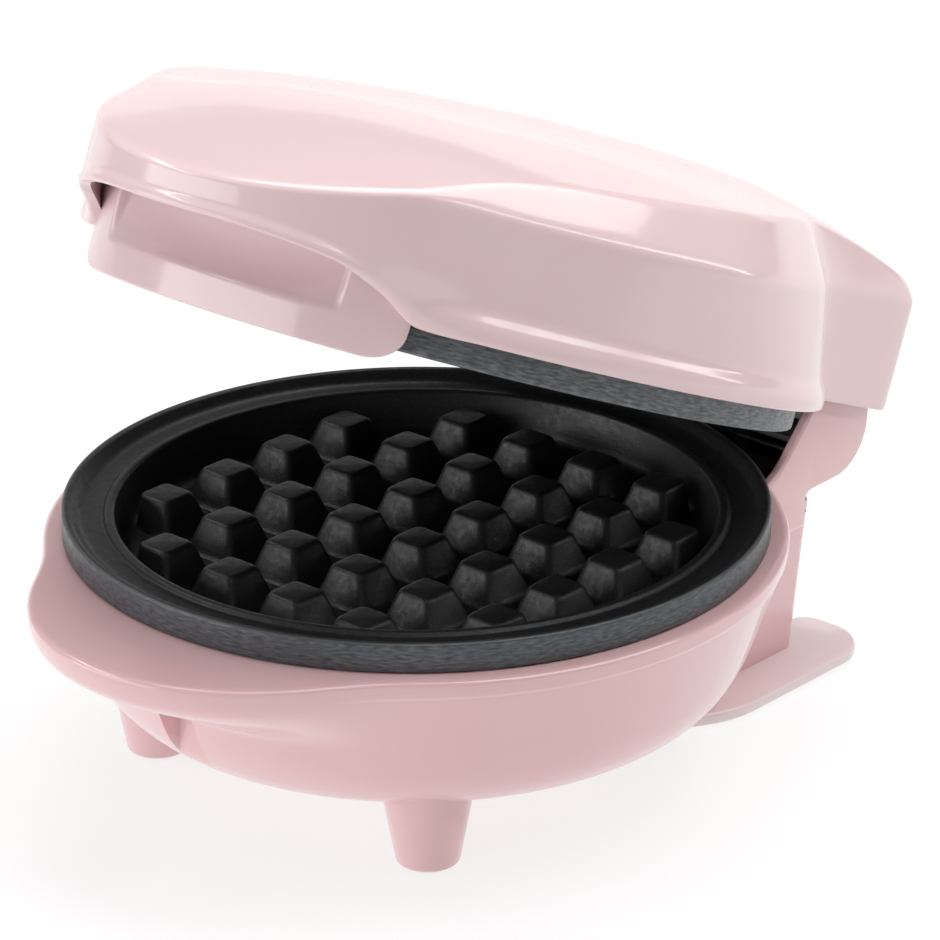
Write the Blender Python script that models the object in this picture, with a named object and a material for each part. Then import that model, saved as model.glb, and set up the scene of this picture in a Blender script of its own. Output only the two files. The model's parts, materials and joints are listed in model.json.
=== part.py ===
"""Small round waffle maker with a hinged lid, built as separate named pieces.

Frame: +X to the right, -Y to the front (the handle), +Y to the hinge, +Z up.
The origin lies under the middle of the object, on the surface it stands on.
Base pieces are drawn around the axis of the baking plates. Lid pieces are drawn
in the closed position and hang on an empty that lies on the hinge axis.
"""
import math

import bmesh
import bpy
from mathutils import Vector

MM = 0.001

# Overall placing
PLATE_AXIS_Y = -7.055 * MM
HINGE_Y = 70 * MM
HINGE_Z = 41 * MM
LID_OPEN_ANGLE = math.radians(22.4)
GAP = 0.3 * MM

# Plates
PLATE_RADIUS = 60 * MM
PLATE_SPLIT_Z = 46.25 * MM
FOOD_RADIUS = 50 * MM
STUD_PITCH = 15 * MM
STUD_BASE = 11 * MM
STUD_TOP = 6.5 * MM
STUD_HEIGHT = 6 * MM
PLATE_SCREW_CIRCLE = 44 * MM

# Base
BOWL_RADIUS = 63 * MM
BOWL_TOP_Z = 41 * MM
BOWL_BOTTOM_Z = 12 * MM
WALL = 2.2 * MM
COVER_OPENING = 33 * MM
TONGUE_CENTRE = 39.6 * MM
TONGUE_RADIUS = 37 * MM
TONGUE_ROOT_Z = 26 * MM
TONGUE_SIDE_Z = 37 * MM
FOOT_X = 31.3 * MM
FOOT_Y = -32.1 * MM
FOOT_BOTTOM_RADIUS = 5.3 * MM
FOOT_TOP_RADIUS = 7.7 * MM
EAR_INNER = 33 * MM
EAR_OUTER = 35 * MM
PIN_END = 33.9 * MM
POST_HALF_WIDTH = 27.7 * MM
POST_FLARE = 0.115
POST_REAR_Y = 70.5 * MM
POST_FRONT_Y = 40 * MM
HINGE_FLOOR_Z = 30 * MM
STAND_HALF_WIDTH = 37.2 * MM
STAND_THICKNESS = 2.2 * MM
INLET_Z = 20 * MM

# Lid, closed
LID_RADIUS = 62.8 * MM
SKIRT_Z = 50.8 * MM
BEAD = 1.4 * MM
WALL_TOP_Z = 71 * MM
WALL_LEAN = 2.8 * MM
VISOR_CENTRE = 35.5 * MM
VISOR_RADIUS = 41 * MM
VISOR_LIFT = 8.6 * MM
VISOR_FALL = 4 * MM
BLOCK_HALF_WIDTH = 38 * MM
BLOCK_REAR_Y = 80 * MM
TOP_CROWN = 4.8 * MM
PANEL_RADIUS = 64.2 * MM
PANEL_BOTTOM_Z = 44.4 * MM
PANEL_TOP_Z = 64 * MM
PANEL_END = math.radians(33.5)
PANEL_TUCK = 2.3 * MM
PANEL_THINNING = 1 * MM
PANEL_LEAN = 0.9 * MM
POCKET_END = math.radians(24.2)
POCKET_BOTTOM_Z = 49.6 * MM
POCKET_DEPTH = 5 * MM

# Facets
SHELL_FACETS = 60
PLATE_FACETS = 40
SMALL_FACETS = 16

# Height of the bowl's side against its radius, from the bottom opening to the rim
BOWL_SIDE = ((46, 12), (50.5, 13.6), (54, 16.6), (56.3, 20), (58.3, 25), (60, 30), (61.7, 35),
             (62.7, 38), (63, 41))
# Height of the lid's top edge along Y, from the front to the rear
LID_TOP_LINE = ((-77, 65.6), (-58, 71.6), (-40, 76.8), (-20, 79), (0, 80.3), (25, 81.3), (42, 81),
                (55, 79.3), (65, 77.2), (81, 73))


def make_material(name, colour, roughness, metallic=0.0):
    """Return a Principled material with one colour."""
    material = bpy.data.materials.new(name)
    material.use_nodes = True
    shader = material.node_tree.nodes["Principled BSDF"]
    shader.inputs["Base Color"].default_value = (*colour, 1.0)
    shader.inputs["Roughness"].default_value = roughness
    shader.inputs["Metallic"].default_value = metallic
    return material


def add_empty(name, parent, location):
    """Add an empty under a parent."""
    empty = bpy.data.objects.new(name, None)
    empty.location = location
    empty.parent = parent
    bpy.context.scene.collection.objects.link(empty)
    return empty


def add_object(name, mesh_data, material, body, smooth_angle=35):
    """Turn a bmesh into an object whose mesh is drawn around the plate axis."""
    bmesh.ops.recalc_face_normals(mesh_data, faces=mesh_data.faces)
    mesh = bpy.data.meshes.new(name)
    mesh_data.to_mesh(mesh)
    mesh_data.free()
    mesh.shade_smooth()
    mesh.set_sharp_from_angle(angle=math.radians(smooth_angle))
    if material is not None:
        mesh.materials.append(material)
    thing = bpy.data.objects.new(name, mesh)
    thing.parent = body
    thing.location = Vector((0, 0, 0)) - Vector(body["drawn_from"])
    bpy.context.scene.collection.objects.link(thing)
    return thing


def hide_tool(tool):
    """Mark a cutter, or a piece that a union takes in, as construction only."""
    tool.hide_render = True
    tool.display_type = "WIRE"


def combine(target, tool, operation):
    """Cut a tool from a target, join it to the target, or keep what both share."""
    hide_tool(tool)
    modifier = target.modifiers.new(tool.name, "BOOLEAN")
    modifier.operation = operation
    modifier.solver = "EXACT"
    modifier.object = tool


def polar(angle, radius, height):
    """Return a point at an angle measured from the front towards +X."""
    return Vector((radius * math.sin(angle), -radius * math.cos(angle), height))


def bridge(mesh_data, lower, upper):
    """Join two closed loops of vertices with faces; a loop of one vertex makes a fan."""
    count = max(len(lower), len(upper))
    for index in range(count):
        after = (index + 1) % count
        if len(upper) == 1:
            mesh_data.faces.new((lower[index], lower[after], upper[0]))
        elif len(lower) == 1:
            mesh_data.faces.new((lower[0], upper[after], upper[index]))
        else:
            mesh_data.faces.new((lower[index], lower[after], upper[after], upper[index]))


def closed_loft(loops):
    """Make a closed skin through loops of points; the last loop meets the first."""
    mesh_data = bmesh.new()
    rings = [[mesh_data.verts.new(point) for point in loop] for loop in loops]
    for index, ring in enumerate(rings):
        following = rings[(index + 1) % len(rings)]
        if len(ring) > 1 or len(following) > 1:
            bridge(mesh_data, ring, following)
    return mesh_data


def turned(profile, facets, centre=(0, 0)):
    """Turn a closed outline of (radius, height) in millimetres about an upright axis."""
    shift = Vector((centre[0], centre[1], 0))
    loops = []
    for radius, height in profile:
        if radius == 0:
            loops.append([shift + Vector((0, 0, height * MM))])
            continue
        steps = range(facets)
        turns = [2 * math.pi * step / facets for step in steps]
        loops.append([shift + polar(turn, radius * MM, height * MM) for turn in turns])
    return closed_loft(loops)


def cylinder(radius, start, end, facets=SMALL_FACETS):
    """Return a closed cylinder between two points."""
    start = Vector(start)
    along = Vector(end) - start
    turn = along.to_track_quat("Z", "Y")
    loops = []
    for height in (0, along.length):
        ring = [turn @ polar(2 * math.pi * step / facets, radius, height) + start for step in range(facets)]
        loops.append(ring)
    mesh_data = bmesh.new()
    rings = [[mesh_data.verts.new(point) for point in loop] for loop in loops]
    bridge(mesh_data, rings[0], rings[1])
    mesh_data.faces.new(rings[0])
    mesh_data.faces.new(rings[1])
    return mesh_data


def prism(outline, along, start, end):
    """Extrude an outline along an axis; its points are the two other coordinates in order."""
    def place(pair, value):
        coordinates = list(pair)
        coordinates.insert(along, value)
        return Vector(coordinates)

    mesh_data = bmesh.new()
    rings = [[mesh_data.verts.new(place(pair, value)) for pair in outline] for value in (start, end)]
    bridge(mesh_data, rings[0], rings[1])
    mesh_data.faces.new(rings[0])
    mesh_data.faces.new(rings[1])
    return mesh_data


def box(low, high):
    """Return a box between two corners given in millimetres."""
    low = Vector(low) * MM
    high = Vector(high) * MM
    outline = ((low.x, low.y), (high.x, low.y), (high.x, high.y), (low.x, high.y))
    return prism(outline, 2, low.z, high.z)


def arc(centre, radius, start, end, steps):
    """Return points on an arc in a plane, in millimetres, with angles in degrees."""
    points = []
    for step in range(steps + 1):
        angle = math.radians(start + (end - start) * step / steps)
        points.append((centre[0] + radius * math.cos(angle), centre[1] + radius * math.sin(angle)))
    return points


def metres(points):
    """Return millimetre points in metres."""
    return [tuple(value * MM for value in point) for point in points]


def tube(points, radius, sides):
    """Sweep a round section along points given in millimetres."""
    path = [Vector(point) * MM for point in points]
    mesh_data = bmesh.new()
    rings = []
    normal = (path[1] - path[0]).orthogonal().normalized()
    for index, point in enumerate(path):
        before = path[max(index - 1, 0)]
        after = path[min(index + 1, len(path) - 1)]
        tangent = (after - before).normalized()
        normal = (normal - tangent * normal.dot(tangent)).normalized()
        other = tangent.cross(normal)
        ring = []
        for side in range(sides):
            angle = 2 * math.pi * side / sides
            aside = math.cos(angle) * normal + math.sin(angle) * other
            ring.append(mesh_data.verts.new(point + radius * aside))
        rings.append(ring)
    for lower, upper in zip(rings, rings[1:]):
        bridge(mesh_data, lower, upper)
    mesh_data.faces.new(rings[0])
    mesh_data.faces.new(rings[-1])
    return mesh_data


def smooth_line(points, place):
    """Read a smooth curve through (place, height) points at a place."""
    if place <= points[0][0]:
        return points[0][1]
    for index in range(len(points) - 1):
        (x0, y0), (x1, y1) = points[index], points[index + 1]
        if place <= x1:
            before = points[max(index - 1, 0)]
            after = points[min(index + 2, len(points) - 1)]
            slope0 = (y1 - before[1]) / (x1 - before[0])
            slope1 = (after[1] - y0) / (after[0] - x0)
            width = x1 - x0
            t = (place - x0) / width
            blend0 = (2 * t ** 3 - 3 * t ** 2 + 1) * y0 + (t ** 3 - 2 * t ** 2 + t) * width * slope0
            blend1 = (3 * t ** 2 - 2 * t ** 3) * y1 + (t ** 3 - t ** 2) * width * slope1
            return blend0 + blend1
    return points[-1][1]


def smooth_step(value):
    """Ease from 0 to 1."""
    value = min(max(value, 0.0), 1.0)
    return value * value * (3 - 2 * value)


def circle_reach(angle, centre, radius):
    """Distance from the plate axis to a circle whose centre lies in front of the axis."""
    aside = centre * math.sin(angle)
    if abs(aside) >= radius or math.cos(angle) <= 0:
        return 0.0
    return centre * math.cos(angle) + math.sqrt(radius ** 2 - aside ** 2)


def block_reach(angle, half_width, rear):
    """Distance from the plate axis to a square-cornered block behind it."""
    back = -math.cos(angle)
    if back <= 0:
        return 0.0
    corner = 40
    across = abs(math.sin(angle)) / half_width
    along = back / rear
    return (across ** corner + along ** corner) ** (-1 / corner)


def blend_outlines(*reaches):
    """Join outlines into one, with small hollow curves where they meet."""
    power = 26
    return max(reaches) * sum((reach / max(reaches)) ** power for reach in reaches) ** (1 / power)


# ---------------------------------------------------------------- base shell

def bowl_radius(height):
    """Radius of the bowl's outside at a height, both in metres."""
    heights = [(z, r) for r, z in BOWL_SIDE]
    return smooth_line(heights, height / MM) * MM


def base_radius(angle, height):
    """Radius of the base with its front tongue at an angle and height."""
    tongue = circle_reach(angle, TONGUE_CENTRE, TONGUE_RADIUS)
    reach = blend_outlines(BOWL_RADIUS, tongue) - BOWL_RADIUS
    share = smooth_step((height - TONGUE_ROOT_Z) / (TONGUE_SIDE_Z - TONGUE_ROOT_Z))
    return bowl_radius(height) + reach * share


def base_shell(body, material):
    """Bowl with the front tongue, the hinge floor and the two hinge ears."""
    angles = [2 * math.pi * step / SHELL_FACETS for step in range(SHELL_FACETS)]
    heights = [z * MM for z in (12, 13.6, 16.6, 20, 25, 28, 30.5, 33, 35, 37, 40.4)]
    inner_heights = [z * MM for z in (41, 37, 30, 22, 16.5)]
    loops = [[polar(angle, COVER_OPENING, BOWL_BOTTOM_Z) for angle in angles]]
    for height in heights:
        loops.append([polar(angle, base_radius(angle, height), height) for angle in angles])
    edge = 0.6 * MM
    loops.append([polar(angle, base_radius(angle, BOWL_TOP_Z) - edge, BOWL_TOP_Z) for angle in angles])
    for height in inner_heights:
        loops.append([polar(angle, bowl_radius(height) - WALL, height) for angle in angles])
    floor = BOWL_BOTTOM_Z + WALL
    loops.append([polar(angle, 46 * MM, floor) for angle in angles])
    loops.append([polar(angle, COVER_OPENING, floor) for angle in angles])
    shell = add_object("base_shell", closed_loft(loops), material, body)

    for side, word in ((1, "right"), (-1, "left")):
        ear = add_object("ear_" + word, hinge_ear(side), None, body)
        combine(shell, ear, "UNION")
    half = POST_HALF_WIDTH / MM * (1 + POST_FLARE)
    rear = POST_REAR_Y / MM
    ledge_outline = [(-34, 50), (34, 50), (34, 63), (half, 63)] + arc((half - 3, rear - 3), 3, 0, 90, 3)
    ledge_outline += arc((3 - half, rear - 3), 3, 90, 180, 3) + [(-half, 63), (-34, 63)]
    ledge = prism(metres(ledge_outline), 2, HINGE_FLOOR_Z, HINGE_FLOOR_Z + WALL)
    floor_piece = add_object("hinge_floor", ledge, None, body)
    combine(shell, floor_piece, "UNION")
    inside = add_object("bowl_inside", bowl_inside(), None, body)
    combine(shell, inside, "DIFFERENCE")
    for side, word in ((1, "right"), (-1, "left")):
        boss_start = (side * 31.9 * MM, HINGE_Y, HINGE_Z)
        boss_end = (side * 34 * MM, HINGE_Y, HINGE_Z)
        boss = add_object("ear_boss_" + word, cylinder(5.5 * MM, boss_start, boss_end, 24), None, body)
        combine(shell, boss, "UNION")
        hole_start = (side * 30 * MM, HINGE_Y, HINGE_Z)
        hole_end = (side * (PIN_END + GAP), HINGE_Y, HINGE_Z)
        hole = add_object("ear_hole_" + word, cylinder(2.8 * MM, hole_start, hole_end, 24), None, body)
        combine(shell, hole, "DIFFERENCE")
    behind_notch = ((-51.5, 15.5), (-54.6, 19), (-57.4, 27), (-57.4, 28), (-52.4, 28), (-52.4, 20))
    backing = prism(metres(behind_notch), 0, -6 * MM, 6 * MM)
    combine(shell, add_object("notch_backing", backing, None, body), "UNION")
    notch = add_object("front_notch", box((-3.8, -64, 10), (3.8, -54.2, 26)), None, body)
    combine(shell, notch, "DIFFERENCE")
    lead_way = cylinder(4 * MM, (0, 45 * MM, INLET_Z), (0, 66 * MM, INLET_Z))
    combine(shell, add_object("lead_hole", lead_way, None, body), "DIFFERENCE")
    return shell


def hinge_ear(side):
    """One upright ear that carries a hinge pin."""
    hinge = (70, 41)
    outline = [(50, 30), (50, 41), (53.5, 42)]
    outline += arc(hinge, 12.2, 118, 28, 9)
    outline += arc((71, 46), 9.6, 0, -90, 6)
    outline += [(64.8, 36.2), (63.4, 35.6), (63, 34.4), (63, 30)]
    low, high = sorted((side * EAR_INNER, side * EAR_OUTER))
    return prism(metres(outline), 0, low, high)


def bowl_inside():
    """Space inside the bowl that ears and floor must stay out of."""
    profile = [(0, 15), (50, 17), (55.5, 25), (59.4, 35), (60.6, 45), (0, 45)]
    return turned(profile, SHELL_FACETS)


def bowl_hull():
    """Outside of the bowl, a gap larger, for cutting the pieces that stand against it."""
    gap = GAP / MM
    profile = [(0, 12 - gap), (46, 12 - gap)]
    profile += [(r + gap, z) for r, z in BOWL_SIDE[1:]]
    profile += [(63 + gap, 45), (0, 45)]
    return turned(profile, SHELL_FACETS)


def base_cover(body, material):
    """Round cover that closes the bowl from below."""
    profile = [(0, 9.9), (35, 9.9), (36, 10.9), (36, 11.7), (0, 11.7)]
    cover = add_object("base_cover", turned(profile, PLATE_FACETS), material, body)
    for number, angle in enumerate(cover_screw_angles()):
        place = polar(angle, 27 * MM, 0)
        hole = add_object(
            "cover_hole_%d" % (number + 1),
            cylinder(1.8 * MM, place + Vector((0, 0, 9 * MM)), place + Vector((0, 0, 13 * MM)), 12),
            None, body)
        combine(cover, hole, "DIFFERENCE")
    return cover


def cover_screw_angles():
    """Directions of the three cover screws."""
    return [math.radians(angle) for angle in (60, 180, 300)]


def screw(name, body, material, place, direction, length, head=2.6 * MM, shank=1.3 * MM):
    """Pan-head screw: a shank that starts at a place and points along a direction."""
    direction = Vector(direction)
    place = Vector(place)
    turn = direction.to_track_quat("Z", "Y")
    profile = [(0, -2.0), (1.6, -2.0), (2.3, -1.5), (head / MM, -0.5), (head / MM, 0)]
    profile += [(shank / MM, 0), (shank / MM, length / MM - 1), (0, length / MM)]
    mesh_data = turned(profile, SMALL_FACETS)
    for vertex in mesh_data.verts:
        vertex.co = turn @ vertex.co + place
    return add_object(name, mesh_data, material, body)


def foot(name, body, material, x):
    """Tapered front foot, shaped on top to the bowl, with a seat for its pad."""
    bottom = FOOT_BOTTOM_RADIUS / MM
    top = FOOT_TOP_RADIUS / MM
    seat = [(0, 1.8), (4.2, 1.8), (4.2, 0.3)]
    profile = seat + [(bottom - 0.6, 0.3), (bottom, 0.9), (top, 15), (7.9, 19), (0, 19)]
    thing = add_object(name, turned(profile, 24, (x, FOOT_Y)), material, body)
    hull = add_object(name + "_seat", bowl_hull(), None, body)
    combine(thing, hull, "DIFFERENCE")
    return thing


def pad(name, body, material, x, y, height):
    """Round rubber pad that stands on the table."""
    profile = [(0, 0), (3.4, 0), (3.9, 0.4), (3.9, height), (0, height)]
    return add_object(name, turned(profile, SMALL_FACETS, (x, y)), material, body)


def flare(mesh_data):
    """Widen a shape steadily upwards, as the post does up to the hinge floor."""
    for vertex in mesh_data.verts:
        vertex.co.x *= 1 + POST_FLARE * vertex.co.z / HINGE_FLOOR_Z
    return mesh_data


def rear_stand(body, material):
    """Foot plate behind the bowl with the post that carries the hinge floor."""
    width = STAND_HALF_WIDTH / MM
    side_line = arc((width - 9, 73), 9, 0, 90, 5) + arc((24.7, 77.8), 4.2, 90, 180, 4) + [(20.5, 74)]
    outline = side_line + [(-x, y) for x, y in reversed(side_line)]
    steps = 14
    for step in range(steps + 1):
        angle = math.pi * step / steps
        outline.append((-width * math.cos(angle), 47 - 27 * math.sin(angle)))
    plate_top = 0.3 * MM + STAND_THICKNESS
    stand = add_object("rear_stand", prism(metres(outline), 2, 0.3 * MM, plate_top), material, body)
    half = POST_HALF_WIDTH / MM
    front = POST_FRONT_Y / MM
    rear = POST_REAR_Y / MM - 3
    post_outline = [(-half, front), (half, front)]
    post_outline += arc((half - 3, rear), 3, 0, 90, 3) + arc((3 - half, rear), 3, 90, 180, 3)
    post = flare(prism(metres(post_outline), 2, 1.2 * MM, HINGE_FLOOR_Z - GAP))
    combine(stand, add_object("stand_post", post, None, body), "UNION")
    hollow = flare(box((-25.3, 36, 2.5), (25.3, 68.1, 40)))
    combine(stand, add_object("post_hollow", hollow, None, body), "DIFFERENCE")
    hull = add_object("post_seat", bowl_hull(), None, body)
    combine(stand, hull, "DIFFERENCE")
    inlet = cylinder(4.3 * MM, (0, 60 * MM, INLET_Z), (0, 75 * MM, INLET_Z), 20)
    combine(stand, add_object("inlet_hole", inlet, None, body), "DIFFERENCE")
    for side, word in ((1, "right"), (-1, "left")):
        place = Vector((side * 27.5 * MM, 74 * MM, 0))
        seat = cylinder(4.2 * MM, place + Vector((0, 0, -1 * MM)), place + Vector((0, 0, 1.3 * MM)))
        combine(stand, add_object("pad_seat_" + word, seat, None, body), "DIFFERENCE")
    return stand


def cord_gland(body, material):
    """Flexible strain relief in the post's rear wall, where the mains cord comes out."""
    profile = [(0, -6.5), (5.6, -6.5), (5.6, -2.7), (4.0, -2.7)]
    profile += [(4.0, 0.3), (5.8, 0.3), (5.8, 2.2), (4.6, 3.2)]
    for rib in range(4):
        height = 3.2 + 2.8 * rib
        radius = 4.6 - 0.3 * rib
        profile += [(radius, height + 1.8), (radius - 0.8, height + 1.8), (radius - 0.8, height + 2.8)]
        if rib < 3:
            profile += [(radius - 0.3, height + 2.8)]
    profile += [(2.9, 15.4), (1.9, 15.4), (1.9, 6), (0, 6)]
    mesh_data = turned(profile, SMALL_FACETS)
    turn = Vector((0, 1, 0)).to_track_quat("Z", "Y")
    for vertex in mesh_data.verts:
        vertex.co = turn @ vertex.co + Vector((0, POST_REAR_Y, INLET_Z))
    return add_object("cord_gland", mesh_data, material, body)


# ---------------------------------------------------------------- plates and heating

def plate_profile():
    """Half section of the lower baking plate in millimetres, below the split."""
    top = 46.1
    edge = PLATE_RADIUS / MM
    outside = [(0, 34), (51, 34), (54.5, 40.4), (55.5, 41.85), (edge - 0.4, 41.85), (edge, 42.2)]
    rim = [(edge, top - 0.3), (edge - 0.3, top), (edge - 1.3, top)]
    channel = [(57.6, 45.0), (56.6, 44.3), (53.1, 44.3), (52.7, 44.8), (51.6, 44.8), (50.8, 44.2)]
    return outside + rim + channel + [(49.3, 38.4), (48, 37.2), (0, 37.2)]


def flip_height(profile):
    """Mirror a section across the split between the plates."""
    return [(radius, 2 * PLATE_SPLIT_Z / MM - height) for radius, height in profile]


def stud_places():
    """Centres of the grid studs, in metres."""
    half = STUD_PITCH / 2
    places = []
    for row in range(-3, 3):
        for column in range(-3, 3):
            x = half + row * STUD_PITCH
            y = half + column * STUD_PITCH
            if math.hypot(x, y) < FOOD_RADIUS - 5 * MM:
                places.append((x, y))
    return places


def stud_field(floor, top):
    """All the four-sided studs of one baking face as separate tapered blocks."""
    mesh_data = bmesh.new()
    sink = math.copysign(1.5 * MM, floor - top)
    for x, y in stud_places():
        rings = []
        for width, height in ((STUD_BASE, floor + sink), (STUD_BASE, floor), (STUD_TOP, top)):
            half = width / 2
            corners = ((-half, -half), (half, -half), (half, half), (-half, half))
            rings.append([mesh_data.verts.new((x + a, y + b, height)) for a, b in corners])
        for lower, upper in zip(rings, rings[1:]):
            bridge(mesh_data, lower, upper)
        mesh_data.faces.new(rings[0])
        mesh_data.faces.new(rings[-1])
    return mesh_data


def plate_screw_places():
    """Axes of the three screws of a plate."""
    return [polar(math.radians(angle), PLATE_SCREW_CIRCLE, 0) for angle in (40, 160, 280)]


def baking_plate(name, body, material, upper):
    """Cast baking plate with a rim, a run-off channel, the grid and three screw bosses."""
    word = "upper" if upper else "lower"
    profile = plate_profile()
    back, boss_end, floor = 34, 28, 37.2
    if upper:
        profile = flip_height(profile)
        back, boss_end, floor = [2 * PLATE_SPLIT_Z / MM - value for value in (back, boss_end, floor)]
    plate = add_object(name, turned(profile, PLATE_FACETS), material, body)
    rise = -STUD_HEIGHT if upper else STUD_HEIGHT
    studs = add_object(word + "_studs", stud_field(floor * MM, floor * MM + rise), None, body)
    food_area = cylinder(FOOD_RADIUS - 1.4 * MM, (0, 0, 30 * MM), (0, 0, 65 * MM), PLATE_FACETS)
    combine(studs, add_object(word + "_food_area", food_area, None, body), "INTERSECT")
    combine(plate, studs, "UNION")
    inward = 1 if upper else -1
    for number, place in enumerate(plate_screw_places()):
        start = place + Vector((0, 0, (back - inward) * MM))
        end = place + Vector((0, 0, boss_end * MM))
        boss = add_object("%s_boss_%d" % (word, number + 1), cylinder(3.6 * MM, start, end, 12), None, body)
        combine(plate, boss, "UNION")
        hole_start = place + Vector((0, 0, (boss_end + inward) * MM))
        hole_end = place + Vector((0, 0, (boss_end - 6 * inward) * MM))
        thread = cylinder(1.7 * MM, hole_start, hole_end, 12)
        hole = add_object("%s_boss_hole_%d" % (word, number + 1), thread, None, body)
        combine(plate, hole, "DIFFERENCE")
    return plate


def heating_element(name, body, material, height, inward):
    """Tubular heating ring with both ends bent away from the plate."""
    radius = 33
    rise = inward * 5
    points = []
    steps = 26
    start, end = math.radians(14), math.radians(346)
    first = polar(start, radius, 0)
    last = polar(end, radius, 0)
    points.append((first.x, first.y, height + 1.6 * rise))
    points.append((first.x, first.y, height + 0.9 * rise))
    for step in range(steps + 1):
        angle = start + (end - start) * step / steps
        spot = polar(angle, radius, 0)
        points.append((spot.x, spot.y, height))
    points.append((last.x, last.y, height + 0.9 * rise))
    points.append((last.x, last.y, height + 1.6 * rise))
    return add_object(name, tube(points, 2.6 * MM, 8), material, body)


def heat_shield(name, body, material, upper):
    """Thin reflector dish between a plate and its housing, with holes for screws and leads."""
    outside = [(0, 24), (46, 24), (51.5, 27), (55, 36), (56.6, 37), (56.6, 37.8)]
    profile = outside + [(54.3, 36.8), (50.8, 27.8), (45.7, 24.8), (0, 24.8)]
    low, high = 20, 30
    if upper:
        profile = flip_height(profile)
        low, high = 60, 75
    shield = add_object(name, turned(profile, 28), material, body)
    holes = [(place, 3.9) for place in plate_screw_places()]
    holes += [(polar(math.radians(angle), 33 * MM, 0), 3.4) for angle in (14, 346)]
    for number, (place, radius) in enumerate(holes):
        start = place + Vector((0, 0, low * MM))
        end = place + Vector((0, 0, high * MM))
        tool = cylinder(radius * MM, start, end, 12)
        combine(shield, add_object("%s_hole_%d" % (name, number + 1), tool, None, body), "DIFFERENCE")
    return shield


def control_disc(name, body, material, height, inward, centre):
    """Snap-action thermostat: a metal cup against the plate with two terminal tabs."""
    profile = [(0, 0), (8, 0), (8, 2.6), (6.6, 3.0), (6.6, 6.4), (0, 6.4)]
    mesh_data = turned([(radius, height + inward * z) for radius, z in profile], 20, centre)
    return add_object(name, mesh_data, material, body)


def wire(name, body, material, points):
    """Insulated lead inside a housing."""
    return add_object(name, tube(points, 1.1 * MM, 6), material, body)


# ---------------------------------------------------------------- lid

def lid_outline(angle):
    """Radius of the lid's wall in plan: round body, front visor and hinge block."""
    visor = circle_reach(angle, VISOR_CENTRE, VISOR_RADIUS)
    block = block_reach(angle, BLOCK_HALF_WIDTH, BLOCK_REAR_Y)
    return blend_outlines(LID_RADIUS, visor, block)


def top_height(y):
    """Height of the lid's top edge at a place along Y, in metres."""
    return smooth_line(LID_TOP_LINE, y / MM) * MM


def skirt_height(angle):
    """Height of the lid's lower edge, raised over the handle panel."""
    turn = abs(math.remainder(angle, 2 * math.pi))
    return SKIRT_Z + VISOR_LIFT * smooth_step((math.radians(35) - turn) / math.radians(15))


def lid_shell(body, material):
    """Outer lid: wall with a bead at its foot, slanted shoulder and crowned top."""
    corner = math.pi - math.atan2(BLOCK_HALF_WIDTH, BLOCK_REAR_Y)
    asides = [math.radians(degrees) for degrees in (-1.6, 0, 1.6)]
    corners = [turn + aside for turn in (corner, 2 * math.pi - corner) for aside in asides]
    even = [2 * math.pi * step / SHELL_FACETS for step in range(SHELL_FACETS)]
    spaced = [angle for angle in even if min(abs(angle - turn) for turn in corners) > math.radians(1.5)]
    angles = sorted(spaced + corners)
    outline = [lid_outline(angle) for angle in angles]
    lower = [skirt_height(angle) for angle in angles]
    turns = [abs(math.remainder(angle, 2 * math.pi)) for angle in angles]
    front = [smooth_step((turn - 0.5) / 0.15) for turn in turns]
    beaded = [share * smooth_step((2.45 - turn) / 0.15) for share, turn in zip(front, turns)]
    drawn_in = []
    for turn, reach, height in zip(turns, outline, lower):
        fall = (reach - LID_RADIUS) * (1 - smooth_step((height - SKIRT_Z) / VISOR_FALL))
        drawn_in.append(fall if turn < 1 else 0)
    hem = [step - BEAD * share for step, share in zip(drawn_in, beaded)]
    hem_top = [step / 2 - BEAD * share for step, share in zip(drawn_in, beaded)]

    def level(inset, heights):
        return [polar(a, r - i, z) for a, r, i, z in zip(angles, outline, inset, heights)]

    def everywhere(value):
        return [value] * len(angles)

    crease = []
    shoulder = []
    for angle, reach in zip(angles, outline):
        height = top_height(-reach * math.cos(angle))
        crease.append(height)
        shoulder.append(min(height - 0.8 * MM, WALL_TOP_Z))
    lean = [WALL_LEAN * smooth_step((turn - 1.4) / 0.5) * smooth_step((2.55 - turn) / 0.2) for turn in turns]
    slant = [0.8 * MM + 5 * MM * min(1, max(0, (z - WALL_TOP_Z) / (7 * MM))) for z in crease]
    inset = [step + share for step, share in zip(slant, lean)]
    loops = [level(hem, lower)]
    loops.append(level(hem_top, [z + 3 * MM for z in lower]))
    wall_foot = [z + 3.5 * MM + 2.5 * MM * share for z, share in zip(lower, front)]
    loops.append(level(everywhere(0), wall_foot))
    loops.append(level(lean, shoulder))
    middle = [low + 0.6 * (high - low) for low, high in zip(shoulder, crease)]
    loops.append(level([0.35 * step + share for step, share in zip(slant, lean)], middle))
    loops.append(level(inset, crease))
    rim = [reach - step for reach, step in zip(outline, inset)]
    loops += lid_top(angles, rim, (0.97, 0.8, 0.55, 0.28), 0)
    inner = [reach - WALL - 0.6 * MM for reach in rim]
    loops += reversed(lid_top(angles, inner, (1, 0.75, 0.4), WALL))
    inner_wall = WALL + 0.2 * MM
    loops.append(level([inner_wall + share for share in lean], [z - 1.5 * MM for z in shoulder]))
    loops.append(level(everywhere(inner_wall), [z + 3 * MM for z in lower]))
    loops.append(level([WALL + step for step in hem], lower))
    return add_object("lid_shell", closed_loft(loops), material, body)


def lid_top(angles, rim, shares, drop):
    """Loops of the crowned top from its edge to its middle."""
    loops = []
    for share in shares:
        ring = []
        for angle, reach in zip(angles, rim):
            radius = reach * share
            height = top_height(-radius * math.cos(angle)) + TOP_CROWN * (1 - share ** 2) - drop
            ring.append(polar(angle, radius, height))
        loops.append(ring)
    loops.append([Vector((0, 0, top_height(0) + TOP_CROWN - drop))])
    return loops


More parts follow.
